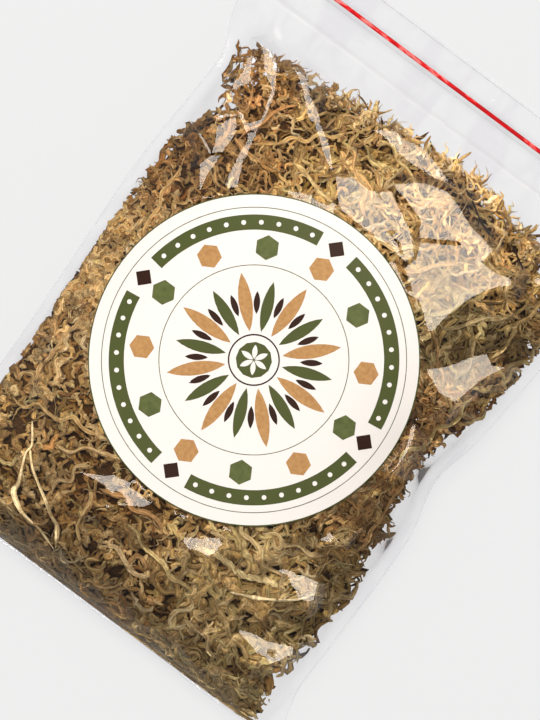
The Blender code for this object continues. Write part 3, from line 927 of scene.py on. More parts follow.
TRAITS = np.array([[s[1], s[2], s[3], *[w / sum(s[4]) for w in s[4]]] for s in STYLES])
PALETTE = np.array([KHAKI, GOLD, BROWN, GREEN, PALE, RUST]) * (1.01, 0.985, 0.97)
# how light or dark the moss is by each of those places: partly the moss's own tone, partly painted light, as at
# the bright upper right
TONE_AND_PAINTED_LIGHT = np.array([1.10, 1.00, 1.14, 1.20, 1.40, 1.36, 1.08, 0.64, 1.04, 0.86, 0.88, 0.88,
                   0.88, 0.88, 0.82, 0.80, 0.88, 0.98, 0.80])


def traits_at(x, y):
    d2 = (x[:, None] - ANCHORS[:, 0]) ** 2 + (y[:, None] - ANCHORS[:, 1]) ** 2
    w = 1.0 / (d2 + 90.0) ** 2
    w /= w.sum(1, keepdims=True)
    out = w @ TRAITS
    # the share of each colour also carries the local tone and painted light
    out[:, 3:] *= (w @ TONE_AND_PAINTED_LIGHT)[:, None]
    return out


def paths(x0, y0, length, curl, steps, rng, heading=None, centred=True):
    """Wandering routes in the plane: arrays (n, steps + 1)."""
    n = len(x0)
    if heading is None:
        heading = rng.uniform(0, 2 * math.pi, n)
    s = np.linspace(0, 1, steps + 1)[None, :]
    bend = rng.normal(size=n)[:, None] * 1.4 * curl[:, None]
    a = heading[:, None] + bend * (s - (0.5 if centred else 0.0)) * 2
    for k, amp in ((1.0, 0.85), (2.1, 0.75), (3.6, 0.45)):
        a = a + amp * curl[:, None] * rng.normal(size=n)[:, None] * np.sin(
            2 * math.pi * (k * s + rng.uniform(0, 1, n)[:, None]))
    ds = length[:, None] / steps
    dx, dy = np.cos(a) * ds, np.sin(a) * ds
    x = np.cumsum(dx, 1) - dx
    y = np.cumsum(dy, 1) - dy
    mid = steps // 2 if centred else 0
    return x - x[:, mid:mid + 1] + x0[:, None], y - y[:, mid:mid + 1] + y0[:, None]


def contain(x, y, r):
    """Keeps routes inside the bag, and near the moss's own outline."""
    y = np.where(y < -172.6 + r, 2 * (-172.6 + r) - y, y)
    y = np.clip(y, -172.6 + r, 139.0)
    spill = (np.abs(np.sin(37.0 * x[:, :1] + 11.0 * y[:, :1])) ** 2) * 8.0 - 1.0
    lo = np.maximum(left_edge(y) + WELD + 1.5 + r, moss_left(y) - spill)
    hi = np.minimum(right_edge(y) - WELD - 1.5 - r, moss_right(y) + spill)
    x = np.where(x < lo, lo + 0.7 * (lo - x), x)
    x = np.where(x > hi, hi - 0.7 * (x - hi), x)
    return np.clip(x, left_edge(y) + WELD + 1.5 + r, right_edge(y) - WELD - 1.5 - r), y


def tubes(P, R, sides, rng, flat=0.66, lump=0.15):
    """P (n, m, 3), R (n, m) in mm: closed, ribbed and flattened stems."""
    n, m, _ = P.shape
    T = np.gradient(P, axis=1)
    T /= np.linalg.norm(T, axis=2, keepdims=True) + 1e-9
    S = np.cross(T, np.array([0, 0, 1.0]))
    S /= np.linalg.norm(S, axis=2, keepdims=True) + 1e-9
    U = np.cross(S, T)
    lean = (rng.normal(size=n)[:, None] * 0.35
            + 0.5 * np.sin(2 * math.pi * (np.linspace(0, 1, m)[None] * rng.uniform(0.4, 1.6, n)[:, None]
                                          + rng.random(n)[:, None])))[..., None]
    S, U = S * np.cos(lean) + U * np.sin(lean), U * np.cos(lean) - S * np.sin(lean)
    turn = rng.uniform(0, 2 * math.pi, n)[:, None] + np.linspace(0, 1, m)[None] * rng.normal(size=n)[:, None] * 1.8
    phi = np.linspace(0, 2 * math.pi, sides, endpoint=False)[None, None, :] + turn[:, :, None]
    wob = rng.normal(size=(n, m, sides)) * lump
    wob = 0.5 * wob + 0.25 * np.roll(wob, 1, 1) + 0.25 * np.roll(wob, 1, 2)
    groove = 0.15 * np.cos(2 * phi + turn[:, :, None] * 2) + 0.07 * np.cos(3 * phi)
    rad = R[:, :, None] * (1 + wob + groove)
    ca, sa = np.cos(phi) * rad, np.sin(phi) * rad * flat
    V = P[:, :, None, :] + S[:, :, None, :] * ca[..., None] + U[:, :, None, :] * sa[..., None]
    idx = (np.arange(n)[:, None, None] * m + np.arange(m)[None, :, None]) * sides + np.arange(sides)[None, None, :]
    nxt = np.roll(idx, -1, 2)
    quads = np.stack([idx[:, :-1], nxt[:, :-1], nxt[:, 1:], idx[:, 1:]], -1).reshape(-1, 4)
    seg = np.linalg.norm(np.diff(P, axis=1), axis=2)
    s = np.concatenate([np.zeros((n, 1)), np.cumsum(seg, 1)], 1) + rng.uniform(0, 4000, n)[:, None]
    # v runs 0 to 1 and back round the stem; whole numbers set stems apart
    around = 0.03 + 0.94 * np.abs(np.linspace(-1, 1, sides, endpoint=False))
    uv = np.stack([np.repeat(s[:, :, None], sides, 2),
                   around[None, None, :].repeat(n, 0).repeat(m, 1)
                   + rng.integers(0, 400, n)[:, None, None]], -1)
    V = V.reshape(-1, 3)
    uv = uv.reshape(-1, 2)
    tris, tips = [], []
    base = len(V)
    for end, step in ((0, -1), (m - 1, 1)):
        tip = P[:, end] + T[:, end] * step * R[:, end][:, None] * 1.4
        ring = idx[:, end]
        t = base + len(tips) * n + np.arange(n)
        r2 = np.roll(ring, -1, 1)
        tt = np.stack([r2, ring, np.repeat(t[:, None], sides, 1)] if step < 0 else
                      [ring, r2, np.repeat(t[:, None], sides, 1)], -1)
        tris.append(tt.reshape(-1, 3))
        tips.append((tip, uv[ring[:, 0]]))
    V = np.concatenate([V] + [t[0] for t in tips])
    uv = np.concatenate([uv] + [t[1] for t in tips])
    return V, quads[:, ::-1], np.concatenate(tris)[:, ::-1], uv


def leaflets(P, R, rng, per):
    """Small pointed leaf tips standing off the stems: closed four-sided slivers."""
    n, m, _ = P.shape
    k = n * per
    which = np.repeat(np.arange(n), per)
    pos = rng.uniform(0.3, m - 1.3, k)
    i = pos.astype(int)
    f = (pos - i)[:, None]
    c = P[which, i] * (1 - f) + P[which, i + 1] * f
    t = P[which, i + 1] - P[which, i]
    t /= np.linalg.norm(t, axis=1, keepdims=True) + 1e-9
    t *= np.where(rng.random(n)[which] < 0.5, -1, 1)[:, None]
    r = R[which, i]
    s = np.cross(t, np.array([0, 0, 1.0]))
    s /= np.linalg.norm(s, axis=1, keepdims=True) + 1e-9
    u = np.cross(s, t)
    a = rng.uniform(0, 2 * math.pi, k)
    o = s * np.cos(a)[:, None] + u * (np.sin(a) * 0.6)[:, None]
    root = c + o * (r * 0.55)[:, None]
    ln = rng.uniform(0.8, 1.7, k)[:, None] * np.clip(r, 0.4, 1.4)[:, None]
    tip = root + (t * 0.9 + o * 0.55) * ln
    w = (np.cross(t, o)) * (rng.uniform(0.22, 0.42, k)[:, None]) * np.clip(r, 0.5, 1.2)[:, None]
    b = -t * 0.5 - o * 0.1
    V = np.stack([root + w, root - w, root + b * 0.8, tip], 1).reshape(-1, 3)
    q = np.arange(k)[:, None] * 4
    tri = np.concatenate([q + [0, 1, 3], q + [1, 2, 3], q + [2, 0, 3], q + [0, 2, 1]])
    return V, tri, which


def moss_height(x, y):
    """Highest the moss reaches: under the film and under its smooth shape."""
    return np.minimum(film_at(x, y) - 0.45, front_base(x, y) - 0.15)


def colours(w, n, rng, spread=0.24):
    pick = np.array([rng.choice(len(PALETTE), p=row / row.sum()) for row in w])
    c = PALETTE[pick]
    mixin = 0.35 + rng.random(n)[:, None] * 0.4
    c = c * (1 - mixin) + (w / w.sum(1, keepdims=True)) @ PALETTE * mixin
    return c * np.exp(rng.normal(size=n) * spread)[:, None] * w.sum(1, keepdims=True)


class Pile:
    """Gathers stems into one mesh."""

    def __init__(self):
        self.V, self.q, self.t, self.uv, self.C, self.n = [], [], [], [], [], 0

    def add(self, V, quads, tris, uv, C):
        self.q.append(quads + self.n), self.t.append(tris + self.n)
        self.V.append(V), self.uv.append(uv), self.C.append(C)
        self.n += len(V)

    def stems(self, P, R, col, sides, rng, leaves=0, flat=0.66, lump=0.15, fade=None):
        n, m, _ = P.shape
        V, quads, tris, uv = tubes(P, R, sides, rng, flat, lump)
        along = 1 + 0.10 * rng.normal(size=(n, m, 1))
        if fade is not None:
            along = along * fade[..., None]
        ring = np.repeat((col[:, None, :] * along)[:, :, None, :], sides, 2).reshape(-1, 3)
        self.add(V, quads, tris, uv, np.concatenate([ring, col, col]))
        if leaves:
            lv, lt, which = leaflets(P, R, rng, leaves)
            luv = np.repeat(uv[which * m * sides][:, None, :], 4, 1) + rng.uniform(0, 3, (len(which), 4, 2))
            self.add(lv, np.zeros((0, 4), int), lt, luv.reshape(-1, 2),
                     np.repeat(col[which] * 1.08, 4, 0))

    def make(self, name, mat=None):
        obj = mesh_object(name, np.concatenate(self.V),
                          [np.concatenate(self.q), np.concatenate(self.t)], [mat or MOSS],
                          uv=np.concatenate(self.uv),
                          colour=np.concatenate(self.C).astype(np.float32))
        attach(obj, "root")
        return obj


def scatter(count, rng, region):
    xs, yy, need = [], [], count
    while need > 0:
        x = rng.uniform(-122, 122, need * 4)
        y = rng.uniform(-173, 132, need * 4)
        ok = region(x, y)
        xs.append(x[ok][:need]), yy.append(y[ok][:need])
        need -= len(xs[-1])
    return np.concatenate(xs), np.concatenate(yy)


def place(x, y, radius, d0, wave, bottom):
    if bottom:
        z = back_base(x, y) + 0.5 + radius + d0 + wave
        return np.minimum(z, moss_height(x, y) - radius)
    z = moss_height(x, y) - radius * 0.8 - d0 - wave
    return np.maximum(z, back_base(x, y) + 0.6 + radius)


def painted_edge_light(x, y):
    """Stems by the moss's thin outline are painted paler and bluer: painted light for the light let through there.
    """
    gap = np.minimum(moss_top(x) - y, np.minimum(moss_right(y) - x, x - moss_left(y)))
    return 1 + np.exp(-np.clip(gap, 0, None) / 7.0)[:, None] * (0.22, 0.28, 0.38)


def strands(pile, count, rng, region, depth, steps=13, sides=6, scale=1.0, leaves=6,
            bottom=False, stretch=1.0, curl=1.0, dim=1.0, blunt=False):
    x0, y0 = scatter(count, rng, region)
    tr = traits_at(x0, y0)
    n = len(x0)
    radius = tr[:, 0] * np.exp(rng.normal(size=n) * 0.2) * scale * 1.05
    length = tr[:, 1] * np.exp(rng.normal(size=n) * 0.25) * stretch
    x, y = paths(x0, y0, length, tr[:, 2] * curl, steps, rng)
    x, y = contain(x, y, radius[:, None])
    d0 = rng.uniform(depth[0], depth[1], n)[:, None]
    s = np.linspace(0, 1, steps + 1)[None]
    wave = (rng.uniform(0.2, 1.0, n)[:, None] * radius[:, None] * 1.1
            * (1 + np.sin(2 * math.pi * (rng.uniform(0.6, 1.8, n)[:, None] * s + rng.random(n)[:, None]))))
    z = place(x, y, radius[:, None], d0, wave, bottom)
    long_tip = rng.uniform(0.08, 0.30, (n, 1))
    taper = (np.clip(s / 0.10, 0.45, 1) * np.clip((1 - s) / long_tip, 0.30, 1))
    if blunt:
        taper = np.clip(np.minimum(s, 1 - s) / 0.08, 0.62, 1)
    R = radius[:, None] * taper * (1 + 0.16 * np.sin(
        2 * math.pi * (rng.uniform(1.5, 4, n)[:, None] * s + rng.random(n)[:, None])))
    # deeper stems are painted darker, and dim darkens a whole layer: painted shade in the tangle
    col = colours(tr[:, 3:], n, rng) * np.exp(-d0 * (0.24, 0.32, 0.50)) * dim * painted_edge_light(x0, y0)
    pile.stems(np.stack([x, y, z], 2), R, col, sides, rng, leaves)


def stars(pile, count, rng, region, depth, arms=6, steps=5, sides=5, scale=1.0):
    """Heads of short hooked branches spreading from one point."""
    x0, y0 = scatter(count, rng, region)
    tr = traits_at(x0, y0)
    n = len(x0)
    turn = rng.uniform(0, 2 * math.pi, n)
    col = colours(tr[:, 3:], n, rng)
    d0 = rng.uniform(depth[0], depth[1], n)
    X, Y, L = [], [], []
    for k in range(arms):
        X.append(x0), Y.append(y0)
        L.append(turn + 2 * math.pi * k / arms + rng.normal(size=n) * 0.3)
    x0, y0, head = np.concatenate(X), np.concatenate(Y), np.concatenate(L)
    tr = np.tile(tr, (arms, 1))
    col = np.tile(col, (arms, 1)) * np.exp(rng.normal(size=len(x0)) * 0.08)[:, None]
    d0 = np.tile(d0, arms)[:, None]
    m = len(x0)
    radius = tr[:, 0] * rng.uniform(0.55, 0.85, m) * scale
    length = radius * rng.uniform(4.5, 8.5, m)
    x, y = paths(x0, y0, length, np.full(m, 0.6), steps, rng, heading=head, centred=False)
    x, y = contain(x, y, radius[:, None])
    s = np.linspace(0, 1, steps + 1)[None]
    droop = radius[:, None] * (2.2 * s**2)
    z = place(x, y, radius[:, None], d0 * np.exp(-0 * s), droop, False)
    R = radius[:, None] * np.clip(1.05 - 0.75 * s, 0.3, 1)
    # deeper heads are painted darker: painted shade
    pile.stems(np.stack([x, y, z], 2), R, col * np.exp(-0.14 * d0), sides, rng, 0)


def in_moss(x, y, edge=4.0, top=0.0):
    ok = (x > moss_left(y) + edge - 2) & (x < moss_right(y) - edge + 2)
    ok &= (y < moss_top(x) + top) & (y > -172.5 + 0.4 * edge)
    # the right bottom corner is only loosely filled
    ok &= (x - 96) + (-146 - y) * 0.8 < 22
    return ok


def off_label(x, y, r=LABEL_R - 7):
    return np.hypot(x - LABEL_X, y - LABEL_Y) > r


def zone(test):
    return lambda x, y: in_moss(x, y) & off_label(x, y) & test(x, y)


low = zone(lambda x, y: y < -60)
high = zone(lambda x, y: y > 30)
flank = zone(lambda x, y: (y >= -60) & (y <= 30))

srng = np.random.default_rng(42)
pieces = []
for zone_name, region, (long_n, worm_n, mid_n, deep_n, star_n) in (
        ("low", low, (150, 560, 360, 240, 50)), ("high", high, (210, 620, 430, 300, 70)),
        ("flank", flank, (95, 420, 250, 160, 40))):
    pile = Pile()
    strands(pile, long_n, srng, region, (0.0, 1.6), steps=16, sides=8, leaves=4)
    strands(pile, worm_n, srng, region, (0.0, 2.2), steps=9, sides=6, leaves=1,
            stretch=0.55, curl=1.5, blunt=True)
    pieces.append(pile.make(f"moss_{zone_name}_top"))
    pile = Pile()
    strands(pile, mid_n, srng, region, (1.6, 4.2), steps=10, sides=5, leaves=2)
    stars(pile, star_n, srng, region, (0.0, 1.6), arms=5)
    pieces.append(pile.make(f"moss_{zone_name}_mid"))
    pile = Pile()
    # the deep layer is painted darker by dim: painted shade
    strands(pile, deep_n, srng, region, (4.0, 7.0), steps=9, sides=4, leaves=0, dim=0.6)
    pieces.append(pile.make(f"moss_{zone_name}_deep"))

# fine fibres, thick on the upper right and along the top
pile = Pile()
strands(pile, 330, srng, zone(lambda x, y: (y > 40) | (x > 80)), (0.0, 3.0), steps=9,
        sides=4, scale=0.42, stretch=0.9, leaves=0, curl=0.9)
strands(pile, 150, srng, zone(lambda x, y: y <= 40), (0.0, 3.0), steps=9, sides=4,
        scale=0.36, stretch=0.8, leaves=0)
# the fringe that stands up from the top of the moss
n = 330
x0 = srng.uniform(-104, 108, n)
y0 = moss_top(x0) - srng.uniform(-1.0, 7.0, n)
tr = traits_at(x0, y0)
radius = srng.uniform(0.4, 1.15, n)
x, y = paths(x0, y0, srng.uniform(5, 13, n), np.full(n, 0.85), 8, srng,
             heading=srng.normal(math.pi / 2, 0.95, n), centred=False)
x, y = contain(x, y, radius[:, None])
s = np.linspace(0, 1, 9)[None]
gap_hi = front_base(x, y) - 0.9 - radius[:, None]
gap_lo = back_base(x, y) + 0.9 + radius[:, None]
z = gap_lo + (gap_hi - gap_lo) * np.clip(srng.uniform(0.2, 1.0, n)[:, None] + 0.1 * np.sin(5 * s), 0, 1)
z = np.minimum(z, moss_height(x, y) - radius[:, None])
# the fringe's colour is lifted paler and bluer: painted light through the thin fringe
pile.stems(np.stack([x, y, z], 2), radius[:, None] * np.clip((1.02 - s) / 0.6, 0.22, 1),
           colours(tr[:, 3:], n, srng) * (1.2, 1.26, 1.45), 6, srng, 2)
# crumbs in the loose corner and along the right side
n = 150
t = srng.random(n) ** 1.6
x0 = 60 + 60 * srng.random(n)
y0 = -170 + 52 * srng.random(n)
line = (x0 - 96) + (-146 - y0) * 0.8
keep = (line > 12) & (line < 24 + 30 * srng.random(n) ** 2)
x0, y0 = x0[keep], y0[keep]
n = len(x0)
tr = traits_at(x0, y0)
radius = srng.uniform(0.3, 0.8, n)
x, y = paths(x0, y0, srng.uniform(2, 7, n), np.full(n, 1.0), 6, srng)
x, y = contain(x, y, radius[:, None])
z = moss_height(x, y) - radius[:, None] - srng.uniform(0, 2.5, n)[:, None]
z = np.maximum(z, back_base(x, y) + 0.5 + radius[:, None])
pile.stems(np.stack([x, y, z], 2), radius[:, None] * np.ones((1, 7)), colours(tr[:, 3:], n, srng), 5, srng, 2)
pieces.append(pile.make("moss_fibres"))

# stems pressed into the bottom fold
pile = Pile()
n = 420
x0 = srng.uniform(-118, 104, n)
y0 = -173.4 + srng.uniform(0, 1, n) ** 1.3 * 15
tr = traits_at(x0, y0)
radius = tr[:, 0] * srng.uniform(0.55, 0.95, n)
x, y = paths(x0, y0, srng.uniform(9, 22, n), np.full(n, 0.55), 8, srng,
             heading=srng.choice([0, math.pi], n) + srng.normal(size=n) * 0.45)
x, y = contain(x, y, radius[:, None])
s = np.linspace(0, 1, 9)[None]
deep = srng.uniform(0, 1, n)[:, None] ** 1.5 * 6
z = place(x, y, radius[:, None], deep, 0 * x, False)
# these stems are painted darker, more so the deeper they lie: painted shade in the fold
pile.stems(np.stack([x, y, z], 2), radius[:, None] * np.clip(np.minimum(s, 1 - s) / 0.15, 0.4, 1),
           colours(tr[:, 3:], n, srng) * 0.9 * np.exp(-0.12 * deep), 5, srng, 2)
# thin stems that lie along the fold itself
n = 190
x0 = srng.uniform(-121, 108, n)
y0 = -174.2 + srng.uniform(0, 1, n) * 2.0
tr = traits_at(x0, y0)
radius = srng.uniform(0.45, 0.75, n)
s = np.linspace(0, 1, 9)[None]
run = srng.uniform(9, 24, n)[:, None]
sway = srng.uniform(0.15, 0.5, n)[:, None] * np.sin(2 * math.pi * (s * srng.uniform(0.6, 1.8, n)[:, None]
                                                                 + srng.random(n)[:, None]))
x = np.clip(x0[:, None] + run * (s - 0.5), -121.5, 110.0)
y = np.clip(y0[:, None] + sway, -174.3, -171.6)
room = np.interp(y, (-174.3, -173.2, -171.6), (0.0, 0.9, 5.0))
z = mid_height(y) + room * srng.uniform(-0.2, 0.9, n)[:, None]
# painted a little darker: painted shade along the fold
pile.stems(np.stack([x, y, z], 2), radius[:, None] * np.clip(np.minimum(s, 1 - s) / 0.15, 0.4, 1),
           colours(tr[:, 3:], n, srng) * 0.95, 5, srng, 1)
pieces.append(pile.make("moss_fold"))

# the underside and the sides, seen when the bag is turned
pile = Pile()
urng = np.random.default_rng(77)
strands(pile, 1100, urng, lambda x, y: in_moss(x, y), (0.0, 2.5), steps=9, sides=4,
        leaves=0, bottom=True, scale=1.45)
pieces.append(pile.make("moss_underside"))

# body of the tangle under the loose stems, painted dark brown as painted shade in the gaps
nbx, nby = 60, 84
q = np.linspace(0, 1, nby + 1)
p = np.linspace(-1, 1, nbx + 1)
qq, pp = np.meshgrid(q, p, indexing="ij")
sx = pp * np.sqrt(1 - 0.30 * (2 * qq - 1) ** 8)
sy = (2 * qq - 1) * np.sqrt(1 - 0.16 * pp**8)
yhi = moss_top(104 * sx) - 5
my = -169 + (yhi + 169) * (sy + 1) / 2
mx0, mx1 = moss_left(my) + 5, moss_right(my) - 5
mx = mx0 + (mx1 - mx0) * (sx + 1) / 2
hi = moss_height(mx, my)
lo = back_base(mx, my) + 1.2
rough = (smooth_noise(mx.shape, (60, 46), rng) * 1.2 + smooth_noise(mx.shape, (30, 22), rng) * 1.2)
mid_z = 0.5 * hi + 0.5 * lo
top_z = np.maximum(mid_z + 0.3, hi - 6.0 - np.abs(rough))
low_z = np.minimum(mid_z - 0.3, lo + 1.6 + np.abs(smooth_noise(mx.shape, (50, 40), rng)) * 0.9)
rows, cols = mx.shape
Vt = np.stack([mx, my, top_z], 2).reshape(-1, 3)
Vl = np.stack([mx, my, low_z], 2).reshape(-1, 3)
gf = grid_faces(rows, cols)
n0 = len(Vt)
rim = np.concatenate([np.arange(cols), np.arange(1, rows) * cols + cols - 1,
                      (rows - 1) * cols + np.arange(cols - 2, -1, -1),
                      np.arange(rows - 2, 0, -1) * cols])
rim2 = np.roll(rim, -1)
wall = np.stack([rim, rim + n0, rim2 + n0, rim2], 1)
body_uv = np.concatenate([Vt[:, :2], Vl[:, :2]]) * 0.35
# its dark colour is painted shade seen in the gaps between stems
body_painted_shade_col = np.tile(np.array(srgb(84, 54, 12)), (2 * n0, 1)).astype(np.float32)
body = mesh_object("moss_body", np.concatenate([Vt, Vl]), [gf, gf[:, ::-1] + n0, wall],
                   [MOSS], uv=body_uv, colour=body_painted_shade_col)
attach(body, "root")
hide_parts("moss_mass")

# =====================================================================
# Stems at the moss's face that are pieces of their own
# =====================================================================


def smooth_route(points, step):
    """Evenly spaced points along a Catmull-Rom curve through points."""
    pts = [points[0]] + list(points) + [points[-1]]
    dense = []
    for k in range(1, len(pts) - 2):
        p0, p1, p2, p3 = pts[k - 1:k + 3]
        for n in range(24):
            t = n / 24
            dense.append(tuple(
                0.5 * (2 * b + (c - a) * t + (2 * a - 5 * b + 4 * c - d) * t * t
                       + (3 * b - a - 3 * c + d) * t**3)
                for a, b, c, d in zip(p0, p1, p2, p3)))
    dense.append(tuple(points[-1]))
    total = sum(math.dist(a, b) for a, b in zip(dense, dense[1:]))
    count = max(3, round(total / step))
    out, run, k = [dense[0]], 0.0, 0
    for n in range(1, count):
        want = total * n / count
        while run + math.dist(dense[k], dense[k + 1]) < want:
            run += math.dist(dense[k], dense[k + 1])
            k += 1
        seg = math.dist(dense[k], dense[k + 1])
        f = (want - run) / seg if seg else 0
        out.append(tuple(a + (b - a) * f for a, b in zip(dense[k], dense[k + 1])))
    return out + [dense[-1]]


def wander_route(r, x, y, heading, length, wave):
    pts, phase, pace = [], r.uniform(0, 6.3), r.uniform(14, 22)
    steps = max(4, int(length / 7))
    drift = r.uniform(-0.012, 0.012)
    for n in range(steps + 1):
        pts.append((x, y))
        a = heading + drift * n * 7 + wave * math.sin(phase + n * 7 / pace * 2 * math.pi)
        x += length / steps * math.cos(a)
        y += length / steps * math.sin(a)
    return pts


def exact_across(x, y):
    lo, hi = curve1(LEFT_EDGE, y) + WELD, curve1(RIGHT_EDGE, y) - WELD
    return (2 * x - lo - hi) / (hi - lo)


def stem_free(route, radius, taken):
    for x, y in route:
        if abs(exact_across(x, y)) > 0.90 or y < -162 or y > curve1(MOSS_TOP, x) - 6:
            return False
        if math.hypot(x - LABEL_X, y - LABEL_Y) < LABEL_R - 6:
            return False
        for other, r in taken:
            if any(math.dist((x, y), o) < radius + r + 1.6 for o in other):
                return False
    return True


NAMED_STEMS = {
    "straw_stem_left": (1.0, ((-80, -115), (-74, -125), (-68, -141), (-65, -149),
                              (-52, -156), (-36, -157))),
    "straw_stem_right": (1.0, ((-66, -130), (-60, -137), (-50, -143), (-40, -148),
                               (-31, -150))),
    "straw_stem_low": (0.9, ((57, -124), (72, -117), (87, -107), (94, -97))),
    "dark_stem_upper": (0.8, ((30, 120), (38, 116), (46, 111), (55, 108))),
    "dark_stem_lower": (0.8, ((66, 111), (72, 108), (79, 104))),
    "rope_strand": (1.7, ((28, -116), (42, -112), (56, -113), (68, -108), (78, -106))),
}


def stem_routes():
    taken = [(smooth_route(route, 2.0), radius) for radius, route in NAMED_STEMS.values()]
    r = random.Random(21)
    out, made, tries = [], 0, 0
    while made < 36 and tries < 20000:
        tries += 1
        radius = r.uniform(1.3, 1.75)
        x, y = r.uniform(-108, 108), r.uniform(-158, 122)
        points = wander_route(r, x, y, r.uniform(0, 2 * math.pi), r.uniform(30, 62),
                              r.uniform(0.2, 0.75))
        fine = smooth_route(points, 2.5)
        if not stem_free(fine, radius, taken):
            continue
        taken.append((fine, radius))
        made += 1
        out.append((f"moss_strand_{made:02d}", radius, points))
    return out


def route_points(points, step):
    return np.array(smooth_route(points, step))


def laid(xy, radius, depth=0.0):
    z = moss_height(xy[:, 0], xy[:, 1]) - radius - depth
    z = np.convolve(np.pad(z, 3, mode="edge"), np.ones(7) / 7, "valid")
    z = np.minimum(z, moss_height(xy[:, 0], xy[:, 1]) - radius * 0.8)
    return np.column_stack([xy, z])


worst = 0.0
for name, radius, points in stem_routes():
    xy = route_points(points, 1.1)
    lo_c, hi_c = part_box(name)
    worst = max(worst, abs(xy[:, 0].min() - lo_c[0] / MM), abs(xy[:, 1].max() - hi_c[1] / MM))
    tr = traits_at(xy[len(xy) // 2][None, 0], xy[len(xy) // 2][None, 1])
    rad = 0.5 * radius * 0.85 + 0.5 * tr[0, 0]
    m = len(xy)
    s = np.linspace(0, 1, m)
    R = rad * np.clip(np.minimum(s / 0.06, (1 - s) / 0.16), 0.3, 1)
    R = R * (1 + 0.14 * np.sin(2 * math.pi * (s * m / 9.0 + srng.random())))
    P = laid(xy, rad * 0.8)
    pile = Pile()
    pile.stems(P[None], R[None], colours(tr[:, 3:], 1, srng, 0.08), 10, srng, 16)
    # side branches
    k = 7
    at_i = srng.integers(3, m - 3, k)
    x, y = paths(P[at_i, 0], P[at_i, 1], srng.uniform(5, 11, k), np.full(k, 0.7), 7, srng,
                 centred=False)
    r2 = srng.uniform(0.45, 0.7, k) * rad
    x, y = contain(x, y, r2[:, None])
    sb = np.linspace(0, 1, 8)[None]
    z = place(x, y, r2[:, None], 0.3, sb * 1.2 * r2[:, None], False)
    pile.stems(np.stack([x, y, z], 2), r2[:, None] * np.clip(1.1 - sb * 0.85, 0.25, 1),
               colours(np.repeat(tr[:, 3:], k, 0), k, srng, 0.1), 6, srng, 2)
    obj = pile.make("fine_" + name)
    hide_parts(name)
    pieces.append(obj)
print("stem routes are off the CAD by", round(worst, 2), "mm")


def plain_stem_material(name, ribs):
    return moss_material(name, ridges=ribs, gain=1.2)


STRAW = plain_stem_material("straw", 3.5)


def swollen(s, places, height, width_):
    out = np.ones_like(s)
    for p_ in places:
        out += height * np.exp(-((s - p_) / width_) ** 2)
    return out


# the stems' finer courses, in the photograph's frame
LOOKS = {
    "straw_stem_left": [at(*q) for q in ((33, 421), (33, 444), (27, 452), (23, 466), (19, 483),
                                         (14, 492), (21, 510), (30, 520), (40, 529), (54, 549))],
    "straw_stem_right": [at(*q) for q in ((31, 448), (33, 466), (39, 483), (46, 499), (52, 515),
                                          (58, 527), (56, 548))],
}


def special(name, tint, mat, radius, sheath=(), flat=0.75, twigs=0, rope=False):
    _, points = NAMED_STEMS[name]
    points = LOOKS.get(name, points)
    xy = route_points(points, 0.9)
    m = len(xy)
    s = np.linspace(0, 1, m)
    pile = Pile()
    tintc = np.array([srgb(*tint)]) * (1.1 if sum(tint) > 400 else 1.0)
    if rope:
        # two cords laid together, with scale leaves
        for k in range(3):
            a = 2 * math.pi * (k / 3 + s * xy.shape[0] / 14.0)
            T = np.gradient(xy, axis=0)
            T /= np.linalg.norm(T, axis=1, keepdims=True)
            N = np.column_stack([-T[:, 1], T[:, 0]])
            off = radius * 0.62
            P = laid(xy + N * (np.cos(a) * off)[:, None], radius * 0.9)
            P[:, 2] += np.sin(a) * off * 0.5 - off * 0.4
            R = radius * 0.62 * np.clip(np.minimum(s, 1 - s) / 0.1, 0.35, 1)
            pile.stems(P[None], R[None], tintc * (0.92 + 0.08 * k), 9, srng, 14, flat=0.85)
    else:
        P = laid(xy, radius)
        R = radius * np.clip(np.minimum(s / 0.03, (1 - s) / 0.08), 0.4, 1)
        R = R * swollen(s, sheath, 0.9, 0.07)
        pile.stems(P[None], R[None], tintc, 9, srng, 0, flat=flat, lump=0.06)
        if twigs:
            i = srng.integers(3, m - 4, twigs)
            T = np.gradient(P, axis=0)[i]
            head = np.arctan2(T[:, 1], T[:, 0]) + srng.choice([-1, 1], twigs) * srng.uniform(0.4, 0.9, twigs)
            x, y = paths(P[i, 0], P[i, 1], srng.uniform(4, 9, twigs), np.full(twigs, 0.25), 6,
                         srng, heading=head, centred=False)
            r2 = np.full(twigs, radius * 0.55)
            sb = np.linspace(0, 1, 7)[None]
            z = place(x, y, r2[:, None], 0.1, 0 * x, False)
            pile.stems(np.stack([x, y, z], 2), r2[:, None] * (1.05 - 0.8 * sb),
                       np.repeat(tintc, twigs, 0), 6, srng, 0, lump=0.06)
    obj = pile.make("fine_" + name, mat)
    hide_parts(name)
    pieces.append(obj)


special("straw_stem_left", (250, 226, 174), STRAW, 0.85, (0.50, 0.6), twigs=2)
special("straw_stem_right", (250, 224, 170), STRAW, 0.80, (0.85,), twigs=1)
special("straw_stem_low", (252, 232, 184), STRAW, 0.85, (0.3,), twigs=3)
special("dark_stem_upper", (70, 52, 44), STRAW, 0.62, (), twigs=1)
special("dark_stem_lower", (64, 46, 38), STRAW, 0.55, (), twigs=1)
special("rope_strand", (244, 222, 166), MOSS, 1.5, rope=True)

# =====================================================================
# Label: a paper disc with a plain ornament of rings, petals and hexagons
# =====================================================================


def label_height(x, y):
    return front_base(x, y) + 0.3


